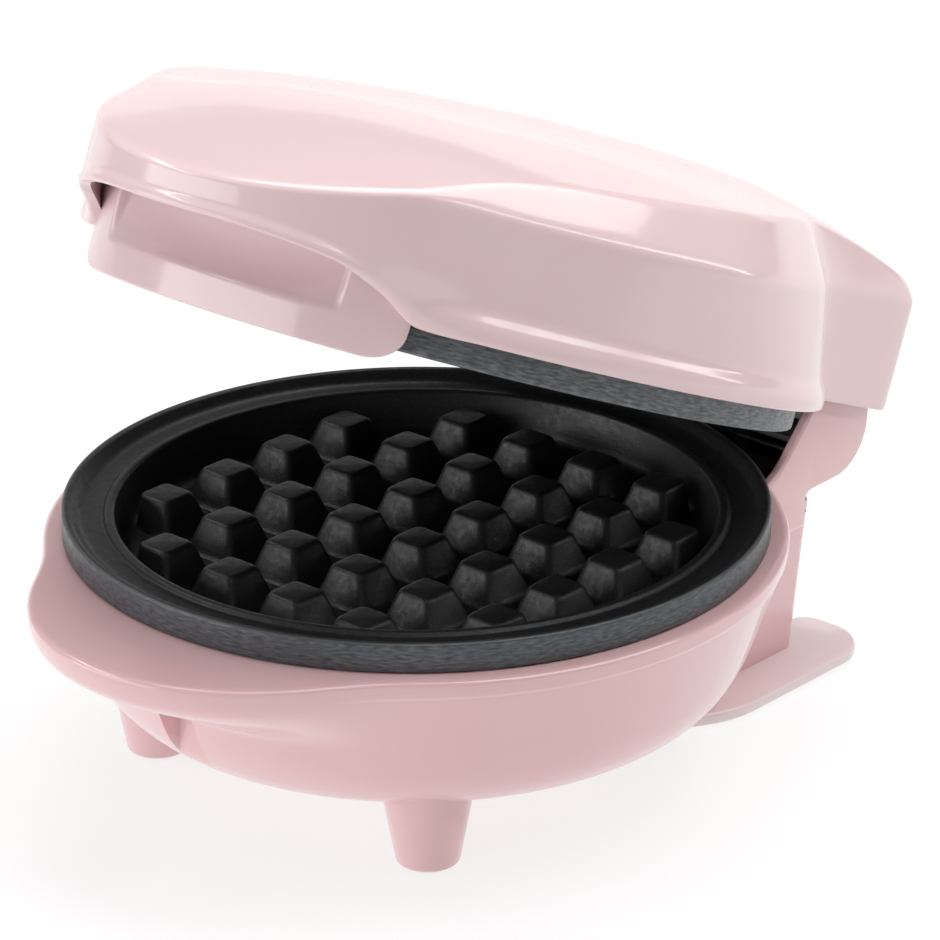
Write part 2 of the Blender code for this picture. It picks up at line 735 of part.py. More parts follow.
def handle_panel(body, material):
    """Front panel under the visor, with a finger pocket that deepens upwards."""
    columns = 22
    angles = [PANEL_END * (2 * step / columns - 1) for step in range(columns + 1)]
    rows = 7

    def depth(angle, height):
        edge = smooth_step((POCKET_END - abs(angle)) / math.radians(2.2))
        return POCKET_DEPTH * edge * min(1, max(0, (height - POCKET_BOTTOM_Z) / (9 * MM)))

    def rise(height):
        return smooth_step((height - PANEL_BOTTOM_Z - 1.5 * MM) / (4 * MM))

    def tuck(angle, height):
        return (PANEL_LEAN * (1 - rise(height)) + PANEL_TUCK * rise(height)) * (abs(angle) / PANEL_END) ** 4

    def wall(angle, height):
        return WALL - PANEL_THINNING * rise(height) * (abs(angle) / PANEL_END) ** 4

    def bottom(angle):
        corner = max(0.0, (abs(angle) / PANEL_END - 0.82) / 0.18)
        return PANEL_BOTTOM_Z + 5 * MM * (1 - math.sqrt(1 - min(1, corner) ** 2))

    mesh_data = bmesh.new()

    def bridge(first, second):
        for index in range(len(first) - 1):
            mesh_data.faces.new((first[index], first[index + 1], second[index + 1], second[index]))

    faces = []
    for side in (0, 1):
        grid = []
        for angle in angles:
            column = []
            for row in range(rows + 1):
                share = row / rows
                height = bottom(angle) + (PANEL_TOP_Z - bottom(angle)) * share
                inward = depth(angle, height) + tuck(angle, height) + side * wall(angle, height)
                radius = PANEL_RADIUS - inward
                column.append(mesh_data.verts.new(polar(angle, radius, height)))
            grid.append(column)
        faces.append(grid)
    outer, inner = faces
    for grid in faces:
        for left, right in zip(grid, grid[1:]):
            for row in range(rows):
                mesh_data.faces.new((left[row], right[row], right[row + 1], left[row + 1]))
    for row in (0, rows):
        bridge([column[row] for column in outer], [column[row] for column in inner])
    for column in (0, columns):
        bridge(outer[column], inner[column])
    return add_object("handle_panel", mesh_data, material, body)


def hinge_arm(body, material):
    """Black lid bracket: two knuckles on the hinge axis and a plate under the hinge block."""
    arm = add_object("lid_hinge_arm", box((-31, 66, 52), (31, 77, 54.2)), material, body)
    for side, word in ((1, "right"), (-1, "left")):
        low, high = sorted((side * 13, side * 30.5))
        web = [(66.6, 41), (66.6, 53), (74.6, 53), (75.4, 41)]
        web = prism(metres(web), 0, low * MM, high * MM)
        combine(arm, add_object("arm_web_" + word, web, None, body), "UNION")
        start = (side * 12.5 * MM, HINGE_Y, HINGE_Z)
        end = (side * 31.5 * MM, HINGE_Y, HINGE_Z)
        knuckle = cylinder(6 * MM, start, end, 24)
        combine(arm, add_object("arm_knuckle_" + word, knuckle, None, body), "UNION")
        start = (side * 5 * MM, HINGE_Y, HINGE_Z)
        end = (side * 40 * MM, HINGE_Y, HINGE_Z)
        bore = cylinder(2.6 * MM, start, end, 36)
        combine(arm, add_object("arm_bore_" + word, bore, None, body), "DIFFERENCE")
    for side, word in ((1, "right"), (-1, "left")):
        start = (side * 8 * MM, 71 * MM, 50 * MM)
        end = (side * 8 * MM, 71 * MM, 56 * MM)
        hole = cylinder(1.7 * MM, start, end, 12)
        combine(arm, add_object("arm_screw_hole_" + word, hole, None, body), "DIFFERENCE")
    return arm


def hinge_guard(body, material):
    """Black guard between the plate and the hinge, standing on the hinge floor."""
    floor = (HINGE_FLOOR_Z + WALL + GAP) / MM
    guard = add_object("hinge_guard", box((-31.5, 60.9, 41.4), (31.5, 63.6, 44.6)), material, body)
    middle = box((-11.5, 63.4, floor), (11.5, 69, 43))
    combine(guard, add_object("guard_middle", middle, None, body), "UNION")
    for side, word in ((1, "right"), (-1, "left")):
        low, high = sorted((side * 23, side * 32.6))
        cheek = box((low, 60.9, floor), (high, 63.6, 44.6))
        combine(guard, add_object("guard_cheek_" + word, cheek, None, body), "UNION")
    return guard


def build():
    """Build the whole waffle maker."""
    for old in list(bpy.data.objects):
        bpy.data.objects.remove(old)

    pink = make_material("pink_plastic", (0.80, 0.55, 0.56), 0.25)
    pink_inner = make_material("pink_cover_plastic", (0.76, 0.52, 0.53), 0.35)
    coating = make_material("non_stick_aluminium", (0.035, 0.036, 0.038), 0.45, 0.3)
    steel = make_material("steel", (0.55, 0.55, 0.55), 0.35, 1.0)
    shield_steel = make_material("reflector_aluminium", (0.75, 0.75, 0.75), 0.3, 1.0)
    black = make_material("black_plastic", (0.02, 0.02, 0.02), 0.5)
    rubber = make_material("rubber", (0.06, 0.06, 0.06), 0.8)
    ceramic = make_material("ceramic", (0.82, 0.80, 0.75), 0.5)
    sleeve = make_material("silicone_sleeve", (0.7, 0.68, 0.62), 0.6)

    middle = add_empty("waffle_maker", None, (0, PLATE_AXIS_Y, 0))
    base = add_empty("base_body", middle, (0, 0, 0))
    base["drawn_from"] = (0.0, 0.0, 0.0)
    lid = add_empty("lid_body", middle, (0, HINGE_Y, HINGE_Z))
    lid["drawn_from"] = (0.0, HINGE_Y, HINGE_Z)
    lid.rotation_euler = (-LID_OPEN_ANGLE, 0, 0)

    base_shell(base, pink)
    base_cover(base, pink_inner)
    foot("front_foot_right", base, pink, FOOT_X)
    foot("front_foot_left", base, pink, -FOOT_X)
    rear_stand(base, pink)
    pad("front_pad_right", base, rubber, FOOT_X, FOOT_Y, 1.5)
    pad("front_pad_left", base, rubber, -FOOT_X, FOOT_Y, 1.5)
    pad("rear_pad_right", base, rubber, 27.5 * MM, 74 * MM, 1.0)
    pad("rear_pad_left", base, rubber, -27.5 * MM, 74 * MM, 1.0)
    cord_gland(base, black)
    hinge_guard(base, black)
    for side, word in ((1, "right"), (-1, "left")):
        start = (side * 18 * MM, HINGE_Y, HINGE_Z)
        end = (side * PIN_END, HINGE_Y, HINGE_Z)
        add_object("hinge_pin_" + word, cylinder(2.5 * MM, start, end, 24), steel, base)
    for number, angle in enumerate(cover_screw_angles()):
        place = polar(angle, 27 * MM, 9.6 * MM)
        screw("cover_screw_%d" % (number + 1), base, steel, place, (0, 0, 1), 7 * MM)

    baking_plate("lower_plate", base, coating, upper=False)
    heating_element("lower_heating_element", base, steel, 31.1, -1)
    heat_shield("lower_heat_shield", base, shield_steel, upper=False)
    for number, place in enumerate(plate_screw_places()):
        place = place + Vector((0, 0, 23.6 * MM))
        screw("lower_plate_screw_%d" % (number + 1), base, steel, place, (0, 0, 1), 9 * MM, 4.6 * MM)
    control_disc("lower_thermostat", base, ceramic, 33.7, -1, (0, 0))
    thermal_fuse = cylinder(2 * MM, (14 * MM, -8 * MM, 31.4 * MM), (14 * MM, 8 * MM, 31.4 * MM), 12)
    add_object("thermal_fuse", thermal_fuse, ceramic, base)
    block = box((-9, 31.5, 14.6), (9, 42.5, 21.5))
    add_object("terminal_block", block, ceramic, base)
    wire("live_lead", base, sleeve, [(1.7, 63, 20), (1.7, 52, 20), (3, 47, 18.8), (4, 42.9, 18)])
    wire("neutral_lead", base, sleeve, [(-1.7, 63, 20), (-1.7, 52, 20), (-3, 47, 18.8), (-4, 42.9, 18)])

    lid_shell(lid, pink)
    handle_panel(lid, pink)
    hinge_arm(lid, black)
    baking_plate("upper_plate", lid, coating, upper=True)
    heating_element("upper_heating_element", lid, steel, 61.4, 1)
    heat_shield("upper_heat_shield", lid, shield_steel, upper=True)
    for number, place in enumerate(plate_screw_places()):
        place = place + Vector((0, 0, 68.9 * MM))
        screw("upper_plate_screw_%d" % (number + 1), lid, steel, place, (0, 0, -1), 9 * MM, 4.6 * MM)
    control_disc("upper_cut_out", lid, ceramic, 58.8, 1, (0, 0))
    for side, word in ((1, "right"), (-1, "left")):
        place = (side * 8 * MM, 71 * MM, 51.7 * MM)
        screw("hinge_screw_" + word, lid, steel, place, (0, 0, 1), 8 * MM)


build()
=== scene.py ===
"""Looks of the small round waffle maker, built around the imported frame.

Shapes are drawn in millimetres around the upright axis of the baking plates, with the lid
closed: +X to the right, -Y to the front, +Z up. add_piece() moves them onto the frame and
opens the lid to its rest angle.
"""
import json
import math

import bmesh
import bpy
from mathutils import Matrix, Vector


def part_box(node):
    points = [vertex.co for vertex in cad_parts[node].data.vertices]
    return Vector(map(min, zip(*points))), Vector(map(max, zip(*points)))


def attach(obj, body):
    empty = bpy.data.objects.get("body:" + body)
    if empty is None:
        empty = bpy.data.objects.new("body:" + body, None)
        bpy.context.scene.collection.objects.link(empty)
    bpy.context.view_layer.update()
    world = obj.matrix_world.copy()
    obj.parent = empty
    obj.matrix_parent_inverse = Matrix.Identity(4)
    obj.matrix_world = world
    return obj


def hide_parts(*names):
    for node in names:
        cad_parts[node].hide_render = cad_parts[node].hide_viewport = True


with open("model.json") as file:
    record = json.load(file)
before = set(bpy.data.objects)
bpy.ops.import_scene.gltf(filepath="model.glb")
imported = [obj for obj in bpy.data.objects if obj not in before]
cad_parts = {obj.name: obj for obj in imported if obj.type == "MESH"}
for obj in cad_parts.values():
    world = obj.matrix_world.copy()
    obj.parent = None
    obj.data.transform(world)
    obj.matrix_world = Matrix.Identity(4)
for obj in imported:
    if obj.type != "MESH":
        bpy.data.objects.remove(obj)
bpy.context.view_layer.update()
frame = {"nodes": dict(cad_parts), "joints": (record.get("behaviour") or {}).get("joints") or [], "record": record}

MM = 0.001

# Places read from the frame, in metres
plate_low, plate_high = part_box("lower_plate")
PLATE_AXIS_Y = (plate_low.y + plate_high.y) / 2
LID_OPEN_ANGLE = -math.radians(frame["joints"][0]["range_deg"][0])

# Plates, in millimetres
PLATE_RADIUS = (plate_high.x - plate_low.x) / 2 / MM
PLATE_SPLIT_Z = 46.25
PLATE_TOP_Z = 46.1
PLATE_FOOT_Z = 41.2
PLATE_BACK_Z = 34
CHANNEL_Z = 44.2
FOOD_RADIUS = 48.6
FOOD_FLOOR_Z = 37.2
STUD_PITCH = 15
STUD_BASE = 11
STUD_TOP = 6.5
STUD_HEIGHT = 6
STUD_CORNER = 1.3
LAST_STUD_RADIUS = 45

# Base, in millimetres
WALL = 2.2
BOWL_RADIUS = 63
BOWL_TOP_Z = 41
BOWL_BOTTOM_Z = 12
RIM_INSIDE_RADIUS = 57.8
RIM_BAND_Z = 38
RIM_BAND_DEPTH = 0.25
TONGUE_CENTRE = 39.6
TONGUE_RADIUS = 37
TONGUE_ROOT_Z = 26
TONGUE_SIDE_Z = 37
NOTCH_HALF_ANGLE = math.radians(3.85)
NOTCH_TOP_Z = 26
NOTCH_DEPTH_Y = 54.2
COVER_RADIUS = 36
COVER_OPENING = 33
COVER_LOW_Z = 9.9
COVER_HIGH_Z = 11.7
COVER_SCREW_RADIUS = 27
COVER_SCREW_Z = 9.6
FOOT_X = 31.3
FOOT_Y = -32.1
FOOT_LOW_RADIUS = 5.3
FOOT_TAPER = 2.45
FOOT_HEIGHT = 14
PAD_TOP_Z = 0.5
REAR_PAD_X = 27.5
REAR_PAD_Y = 74
STAND_HALF_WIDTH = 37.2
STAND_MIDDLE_Y = 47
STAND_FRONT_REACH = 27
STAND_LOW_Z = 0.3
STAND_HIGH_Z = 2.5
POST_HALF_WIDTH = 27.7
POST_FLARE = 0.115
POST_REAR_Y = 70.5
POST_CORNER = 3
POST_WALL = 2.4
LEDGE_HALF_WIDTH = 34
LEDGE_FRONT_Y = 52
LEDGE_STEP_Y = 63
HINGE_FLOOR_Z = 30
EAR_INNER = 33
EAR_OUTER = 35
EAR_TOP_RADIUS = 12.2
HINGE_Y = 70
HINGE_Z = 41
INLET_Z = 20
GUARD_FRONT_Y = 60.9
GUARD_REAR_Y = 63.6
GUARD_FOOT_Z = 32.5
GUARD_TOP_Z = 44.6
GUARD_HALF_WIDTH = 31.5

# Lid, closed, in millimetres
LID_RADIUS = 62.8
SKIRT_Z = 50.8
WALL_TOP_Z = 71
WALL_LEAN = 2.8
VISOR_CENTRE = 35.5
VISOR_RADIUS = 41
BLOCK_HALF_WIDTH = 38
BLOCK_REAR_Y = 80
TOP_CROWN = 4.8
PANEL_RADIUS = 64.2
PANEL_BOTTOM_Z = 44.4
PANEL_TOP_Z = 63.9
PANEL_END = math.radians(33.5)
PANEL_TUCK = 1.0
PANEL_LEAN = 0.9
POCKET_END = math.radians(23.6)
POCKET_BOTTOM_Z = 49.8
POCKET_DEPTH = 5

# Camera, lamps and floor: angles in radians, heights and the aim in millimetres, the
# distance in metres
CAMERA_AZIMUTH = math.radians(41.54)
CAMERA_ELEVATION = math.radians(22.75)
CAMERA_DISTANCE = 0.75
CAMERA_LENS = 170.1
CAMERA_AIM_Z = 50.72
CAMERA_AIM_RIGHT = 9.02
LIGHT_AIM_Z = 60
FLOOR_Z = -0.2
FLOOR_GLOW = 0.76
WORLD_STRENGTH = 0.22

# Height of the bowl's side against its radius, from the bottom opening to the rim
BOWL_SIDE = ((46, 12), (50.5, 13.6), (54, 16.6), (56.3, 20), (58.3, 25), (60, 30), (61.7, 35),
             (62.7, 38), (63, 41))
# Inside of the bowl as (radius, height), from the rim down
BOWL_INSIDE = ((RIM_INSIDE_RADIUS, 37), (57, 30), (54, 22), (51, 16.6), (46, BOWL_BOTTOM_Z + WALL))
# Heights at which the bowl's outside is drawn, close together where it turns
BOWL_LEVELS = (12.3, 12.6, 12.9, 13.2, 13.6, 14, 14.5, 15, 16.2, 17.6, 19, 20.5, 22, 23.5,
               25, 25.5, 25.7, 25.9, 26.1, 26.3, 26.6, 27.2, 28, 29, 30, 31, 32, 33, 34, 35, 36,
               36.7, 37.2, 37.5, 37.7, 37.9, 38.1, 38.3, 38.7, 39.2)
# Height of the lid's top edge along Y, from the front to the rear
LID_TOP_LINE = ((-77, 65.6), (-58, 71.6), (-40, 76.8), (-20, 79), (0, 80.3), (25, 81.3), (42, 81),
                (55, 79.3), (65, 77.2), (81, 73))
# Height of the lid's lower edge against the angle from the front, in degrees
LID_LOWER_LINE = ((0, 59.4), (12, 59.4), (23, 58), (27, 55.9), (29.6, 54.2), (32, 52.1),
                  (34.5, 50.8), (45, 50.8))


# ---------------------------------------------------------------- curves

def smooth_line(points, place):
    """Read a smooth curve through (place, height) points at a place."""
    if place <= points[0][0]:
        return points[0][1]
    for index in range(len(points) - 1):
        (x0, y0), (x1, y1) = points[index], points[index + 1]
        if place <= x1:
            before = points[max(index - 1, 0)]
            after = points[min(index + 2, len(points) - 1)]
            width = x1 - x0
            slope0 = (y1 - before[1]) / (x1 - before[0]) * width
            slope1 = (after[1] - y0) / (after[0] - x0) * width
            t = (place - x0) / width
            start = (2 * t ** 3 - 3 * t ** 2 + 1) * y0 + (t ** 3 - 2 * t ** 2 + t) * slope0
            end = (3 * t ** 2 - 2 * t ** 3) * y1 + (t ** 3 - t ** 2) * slope1
            return start + end
    return points[-1][1]


def smooth_step(value):
    """Ease from 0 to 1."""
    value = min(max(value, 0.0), 1.0)
    return value * value * (3 - 2 * value)


def arc(centre, radius, start, end, steps):
    """Points on an arc, with angles in degrees."""
    points = []
    for step in range(steps + 1):
        angle = math.radians(start + (end - start) * step / steps)
        points.append((centre[0] + radius * math.cos(angle), centre[1] + radius * math.sin(angle)))
    return points


def rounded(points, radii, steps=5):
    """Replace the corners of an open line with small curves; a radius of 0 keeps a corner."""
    longest_share = 0.48
    line = [Vector(point) for point in points]
    result = [line[0]]
    for before, corner, after, radius in zip(line, line[1:], line[2:], radii):
        if radius == 0:
            result.append(corner)
            continue
        into = before - corner
        out = after - corner
        start = corner + into * min(radius / max(into.length, 1e-6), longest_share)
        end = corner + out * min(radius / max(out.length, 1e-6), longest_share)
        for step in range(steps + 1):
            t = step / steps
            result.append(start * (1 - t) ** 2 + corner * 2 * t * (1 - t) + end * t ** 2)
    result.append(line[-1])
    return result


def rounded_outline(corners, steps=6):
    """Closed outline from (x, y, radius) corners."""
    points = [corner[:2] for corner in corners]
    looped = [points[-1]] + points + [points[0]]
    line = rounded(looped, [corner[2] for corner in corners], steps)
    return [tuple(point) for point in line[1:-1]]


def polar(angle, radius, height):
    """Point at an angle measured from the front towards +X."""
    return Vector((radius * math.sin(angle), -radius * math.cos(angle), height))


def circle(centre, radius, height, facets):
    """Points round an upright axis at a place."""
    shift = Vector((centre[0], centre[1], 0))
    return [shift + polar(2 * math.pi * step / facets, radius, height) for step in range(facets)]


def rows_of(angles, columns):
    """Rings round the axis from one line of (radius, height) for each angle."""
    pairs = list(zip(angles, columns))
    rows = range(len(columns[0]))
    return [[polar(angle, *column[row]) for angle, column in pairs] for row in rows]


def spread(*stretches):
    """Angles round the axis from (end, step) stretches in degrees, the same on both sides."""
    half = [0.0]
    for end, step in stretches:
        start = half[-1]
        count = round((end - start) / step)
        half += [start + (end - start) * (index + 1) / count for index in range(count)]
    return [math.radians(value) for value in half + [360 - value for value in reversed(half[1:-1])]]


def circle_reach(angle, centre, radius):
    """Distance from the axis to a circle whose centre lies in front of it."""
    aside = centre * math.sin(angle)
    if abs(aside) >= radius or math.cos(angle) <= 0:
        return 0.0
    return centre * math.cos(angle) + math.sqrt(radius ** 2 - aside ** 2)


def block_reach(angle):
    """Distance from the axis to the side or rear of the hinge block."""
    back = -math.cos(angle)
    if back <= 0:
        return 0.0
    corner = 40
    across = abs(math.sin(angle)) / BLOCK_HALF_WIDTH
    along = back / BLOCK_REAR_Y
    return (across ** corner + along ** corner) ** (-1 / corner)


def blend_outlines(*reaches):
    """Join outlines into one, with small hollow curves where they meet."""
    power = 26
    longest = max(reaches)
    return longest * sum((reach / longest) ** power for reach in reaches) ** (1 / power)


# ---------------------------------------------------------------- meshes

def skin(rings, loop=False, caps=False):
    """Mesh through closed rings of points; a ring of one point closes an end."""
    mesh_data = bmesh.new()
    rows = [[mesh_data.verts.new(Vector(point) * MM) for point in ring] for ring in rings]
    pairs = list(zip(rows, rows[1:]))
    if loop:
        pairs.append((rows[-1], rows[0]))
    for low, high in pairs:
        count = max(len(low), len(high))
        for index in range(count):
            after = (index + 1) % count
            corners = [low[index % len(low)], low[after % len(low)]]
            corners += [high[after % len(high)], high[index % len(high)]]
            corners = list(dict.fromkeys(corners))
            if len(corners) > 2:
                mesh_data.faces.new(corners)
    if caps:
        mesh_data.faces.new(rows[0])
        mesh_data.faces.new(rows[-1])
    return mesh_data


def turned(profile, facets=192, centre=(0, 0)):
    """Turn a line of (radius, height) about an upright axis; it ends on it or meets itself."""
    rings = []
    for radius, height in profile:
        count = facets if radius > 0 else 1
        rings.append(circle(centre, radius, height, facets)[:count])
    on_axis = profile[0][0] == 0 and profile[-1][0] == 0
    return skin(rings, loop=not on_axis)


def inset_outline(outline, distance):
    """Move a closed outline inwards by a distance."""
    smallest_lean = 0.5
    points = [Vector(point) for point in outline]
    area = sum(a.x * b.y - b.x * a.y for a, b in zip(points, points[1:] + points[:1]))
    side = 1 if area > 0 else -1
    result = []
    for before, point, after in zip(points[-1:] + points[:-1], points, points[1:] + points[:1]):
        first = (point - before).normalized()
        second = (after - point).normalized()
        inward = Vector((-(first.y + second.y), first.x + second.x)) * side
        inward.normalize()
        lean = max(abs(inward.dot(Vector((-first.y, first.x)))), smallest_lean)
        result.append(point + inward * distance / lean)
    return result


def slab(outline, axis, low, high, edge=0.5, steps=3):
    """Plate with rounded edges: an outline in two axes, thick along the third."""
    stages = []
    for step in range(steps + 1):
        angle = math.pi / 2 * step / steps
        stages.append((edge * (1 - math.sin(angle)), edge * (1 - math.cos(angle))))
    levels = [(inset, low + rise) for inset, rise in stages]
    levels += [(inset, high - rise) for inset, rise in reversed(stages)]
    rings = []
    for inset, level in levels:
        ring = []
        for point in inset_outline(outline, inset):
            values = [point.x, point.y]
            values.insert(axis, level)
            ring.append(Vector(values))
        rings.append(ring)
    return skin(rings, caps=True)


def join(*parts):
    """Put several meshes in one."""
    whole = bmesh.new()
    for part in parts:
        mesh = bpy.data.meshes.new("part")
        part.to_mesh(mesh)
        part.free()
        whole.from_mesh(mesh)
        bpy.data.meshes.remove(mesh)
    return whole


def placement(body):
    """Move from the drawn place, with the lid closed, to the frame."""
    place = Matrix.Translation((0, PLATE_AXIS_Y, 0))
    if body == "lid":
        hinge = Vector((0, HINGE_Y, HINGE_Z)) * MM
        opening = Matrix.Rotation(-LID_OPEN_ANGLE, 4, "X")
        place = place @ Matrix.Translation(hinge) @ opening @ Matrix.Translation(-hinge)
    return place


def add_piece(name, mesh_data, material, body, replaced, smooth_angle=40):
    """Place a drawn piece on the frame: it rides on a body and stands for a CAD node."""
    bmesh.ops.recalc_face_normals(mesh_data, faces=mesh_data.faces)
    mesh = bpy.data.meshes.new(name)
    mesh_data.to_mesh(mesh)
    mesh_data.free()
    mesh.shade_smooth()
    mesh.set_sharp_from_angle(angle=math.radians(smooth_angle))
    mesh.materials.append(material)
    mesh.transform(placement(body))
    piece = bpy.data.objects.new(name, mesh)
    bpy.context.scene.collection.objects.link(piece)
    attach(piece, body)
    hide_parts(replaced)


# ---------------------------------------------------------------- materials

class Recipe:
    """A Principled material that is built up from nodes."""

    def __init__(self, name, roughness=0.4, metallic=0.0, body="base"):
        self.material = bpy.data.materials.new(name)
        self.material.use_nodes = True
        self.tree = self.material.node_tree
        self.shader = self.tree.nodes["Principled BSDF"]
        self.shader.inputs["Roughness"].default_value = roughness
        self.shader.inputs["Metallic"].default_value = metallic
        drawn = placement(body).inverted()
        world_place = self.add("ShaderNodeTexCoord").outputs["Object"]
        moved = (("Location", drawn.to_translation()), ("Rotation", drawn.to_euler()))
        self.place = self.add("ShaderNodeMapping", (("Vector", world_place), *moved)).outputs[0]

    def add(self, kind, inputs=(), **settings):
        """Add a node; inputs are (socket, value or output) pairs."""
        node = self.tree.nodes.new(kind)
        for key, value in settings.items():
            setattr(node, key, value)
        for socket, value in inputs:
            if isinstance(value, bpy.types.NodeSocket):
                self.tree.links.new(value, node.inputs[socket])
            else:
                node.inputs[socket].default_value = value
        return node

    def noise(self, scale, detail=3.0, place=None):
        """Noise with a scale in features per metre."""
        inputs = (("Vector", place or self.place), ("Scale", scale), ("Detail", detail))
        return self.add("ShaderNodeTexNoise", inputs).outputs["Fac"]

    def span(self, source, low, high, bottom=0.0, top=1.0):
        """Stretch a value from low..high to bottom..top."""
        inputs = [("Value", source), ("From Min", low), ("From Max", high)]
        inputs += [("To Min", bottom), ("To Max", top)]
        return self.add("ShaderNodeMapRange", inputs).outputs["Result"]

    def math(self, operation, first, second=0.0):
        """One step of arithmetic."""
        return self.add("ShaderNodeMath", ((0, first), (1, second)), operation=operation).outputs[0]

    def mix(self, share, first, second):
        """Mix two colours."""
        node = self.add("ShaderNodeMix", data_type="RGBA")
        for socket, value in ((0, share), (6, first), (7, second)):
            if isinstance(value, bpy.types.NodeSocket):
                self.tree.links.new(value, node.inputs[socket])
            else:
                node.inputs[socket].default_value = value if socket == 0 else (*value, 1.0)
        return node.outputs[2]

    def round_axis(self):
        """Distance from the plate axis, angle round it and height, in metres and radians."""
        parts = self.add("ShaderNodeSeparateXYZ", ((0, self.place),))
        x, y, z = parts.outputs
        squares = self.math("ADD", self.math("MULTIPLY", x, x), self.math("MULTIPLY", y, y))
        return self.math("SQRT", squares), self.math("ARCTAN2", y, x), z

    def bump(self, height, strength, distance, under=None):
        """Turn a height into a surface relief."""
        inputs = [("Height", height), ("Strength", strength), ("Distance", distance)]
        if under is not None:
            inputs.append(("Normal", under))
        return self.add("ShaderNodeBump", inputs).outputs["Normal"]

    def wire(self, **sockets):
        """Feed outputs into the shader."""
        for name, output in sockets.items():
            self.tree.links.new(output, self.shader.inputs[name.replace("_", " ")])
        return self.material


def glossy_plastic(name, colour, deep_colour, low_gloss=0.13, high_gloss=0.2, coat=0.5,
                   pocket_painted_light=None):
    """Polished moulded plastic: a faint cloud in its colour, a very fine orange peel and less
    gloss where it is seen edge-on. The finger pocket can take a painted light: a lighter colour
    towards its deepest part, standing in for the front light that reaches under the visor."""
    recipe = Recipe(name, body="lid" if pocket_painted_light else "base")
    recipe.shader.inputs["IOR"].default_value = 1.5
    recipe.shader.inputs["Coat Weight"].default_value = coat
    recipe.shader.inputs["Coat Roughness"].default_value = 0.03
    cloud = recipe.span(recipe.noise(34, 2), 0.35, 0.65)
    flecks = recipe.span(recipe.noise(5200, 1), 0.66, 0.74, 0, 0.18)
    tint = recipe.mix(cloud, colour, deep_colour)
    tint = recipe.mix(flecks, tint, deep_colour)
    if pocket_painted_light:
        # Painted light: the pocket is painted lighter the deeper it lies, in place of the front light that reaches
        # its floor under the visor.
        reach = recipe.round_axis()[0]
        inset = recipe.span(reach, (PANEL_RADIUS - 4) * MM, (PANEL_RADIUS - 1.2) * MM, 1, 0)
        tint = recipe.mix(inset, tint, pocket_painted_light)
    gloss = recipe.span(recipe.noise(240, 4), 0.3, 0.7, low_gloss, high_gloss)
    facing = recipe.add("ShaderNodeLayerWeight").outputs["Facing"]
    gloss = recipe.math("ADD", gloss, recipe.span(facing, 0.86, 1.0, 0, 0.5))
    peel = recipe.bump(recipe.noise(450, 1), 0.02, 0.00002)
    return recipe.wire(Base_Color=tint, Roughness=gloss, Normal=peel)


def coated_plate(name, body, dark_metal, light_metal):
    """Cast plate: speckled dark non-stick coat, turned outer wall, lighter grey band near its edge."""
    recipe = Recipe(name, metallic=0.2, body=body)
    reach, angle, height = recipe.round_axis()
    speckle = recipe.span(recipe.noise(3600, 2), 0.56, 0.72)
    cloud = recipe.span(recipe.noise(55, 3), 0.3, 0.7)
    coat = recipe.mix(cloud, (0.014, 0.0145, 0.016), (0.022, 0.0225, 0.024))
    coat = recipe.mix(recipe.math("MULTIPLY", speckle, 0.55), coat, (0.075, 0.077, 0.08))
    drawn_out = recipe.math("MULTIPLY", angle, 0.012)
    turned_place = recipe.add("ShaderNodeCombineXYZ", ((0, drawn_out), (1, height), (2, reach)))
    turned_place = turned_place.outputs[0]
    streaks = recipe.span(recipe.noise(2600, 5, turned_place), 0.36, 0.66)
    patches = recipe.span(recipe.noise(420, 3), 0.35, 0.65)
    metal = recipe.mix(streaks, dark_metal, light_metal)
    metal = recipe.mix(recipe.math("MULTIPLY", patches, 0.5), metal, (0.07, 0.08, 0.088))
    wall = recipe.span(reach, (PLATE_RADIUS - 0.5) * MM, (PLATE_RADIUS - 0.12) * MM)
    # A lighter grey band just inside the outer edge, on the rounded corners of the rim and the foot.
    edge_near = recipe.span(reach, (PLATE_RADIUS - 0.75) * MM, (PLATE_RADIUS - 0.4) * MM)
    edge_far = recipe.span(reach, (PLATE_RADIUS - 0.3) * MM, (PLATE_RADIUS - 0.02) * MM, 1, 0)
    edge_band = recipe.math("MULTIPLY", recipe.math("MULTIPLY", edge_near, edge_far), 0.75)
    colour = recipe.mix(wall, coat, metal)
    colour = recipe.mix(edge_band, colour, (0.13, 0.13, 0.13))
    gloss = recipe.span(recipe.noise(900, 3), 0.3, 0.7, 0.34, 0.5)
    grain = recipe.bump(recipe.noise(2600, 3), 0.35, 0.00006)
    relief = recipe.bump(streaks, 0.15, 0.00005, grain)
    return recipe.wire(Base_Color=colour, Roughness=gloss, Normal=relief)


def plain_metal(name, dark, light, low_gloss, high_gloss, stretch=(1, 1, 0.06)):
    """Drawn or sheet metal with fine lines along one direction."""
    recipe = Recipe(name, metallic=1.0)
    inputs = (("Vector", recipe.place), ("Scale", stretch))
    drawn = recipe.add("ShaderNodeMapping", inputs).outputs[0]
    lines = recipe.span(recipe.noise(2400, 4, drawn), 0.3, 0.7)
    blotch = recipe.span(recipe.noise(160, 3), 0.35, 0.7)
    colour = recipe.mix(lines, dark, light)
    colour = recipe.mix(recipe.math("MULTIPLY", blotch, 0.3), colour, dark)
    gloss = recipe.span(lines, 0, 1, low_gloss, high_gloss)
    return recipe.wire(Base_Color=colour, Roughness=gloss, Normal=recipe.bump(lines, 0.2, 0.00003))


def grained(name, dark, light, roughness, grain_scale=1800, depth=0.00008):
    """Matt moulded or fired material with a fine grain."""
    recipe = Recipe(name)
    grain = recipe.noise(grain_scale, 3)
    cloud = recipe.span(recipe.noise(70, 3), 0.3, 0.7)
    colour = recipe.mix(cloud, dark, light)
    gloss = recipe.span(grain, 0.3, 0.7, roughness - 0.08, roughness + 0.08)
    return recipe.wire(Base_Color=colour, Roughness=gloss, Normal=recipe.bump(grain, 0.4, depth))


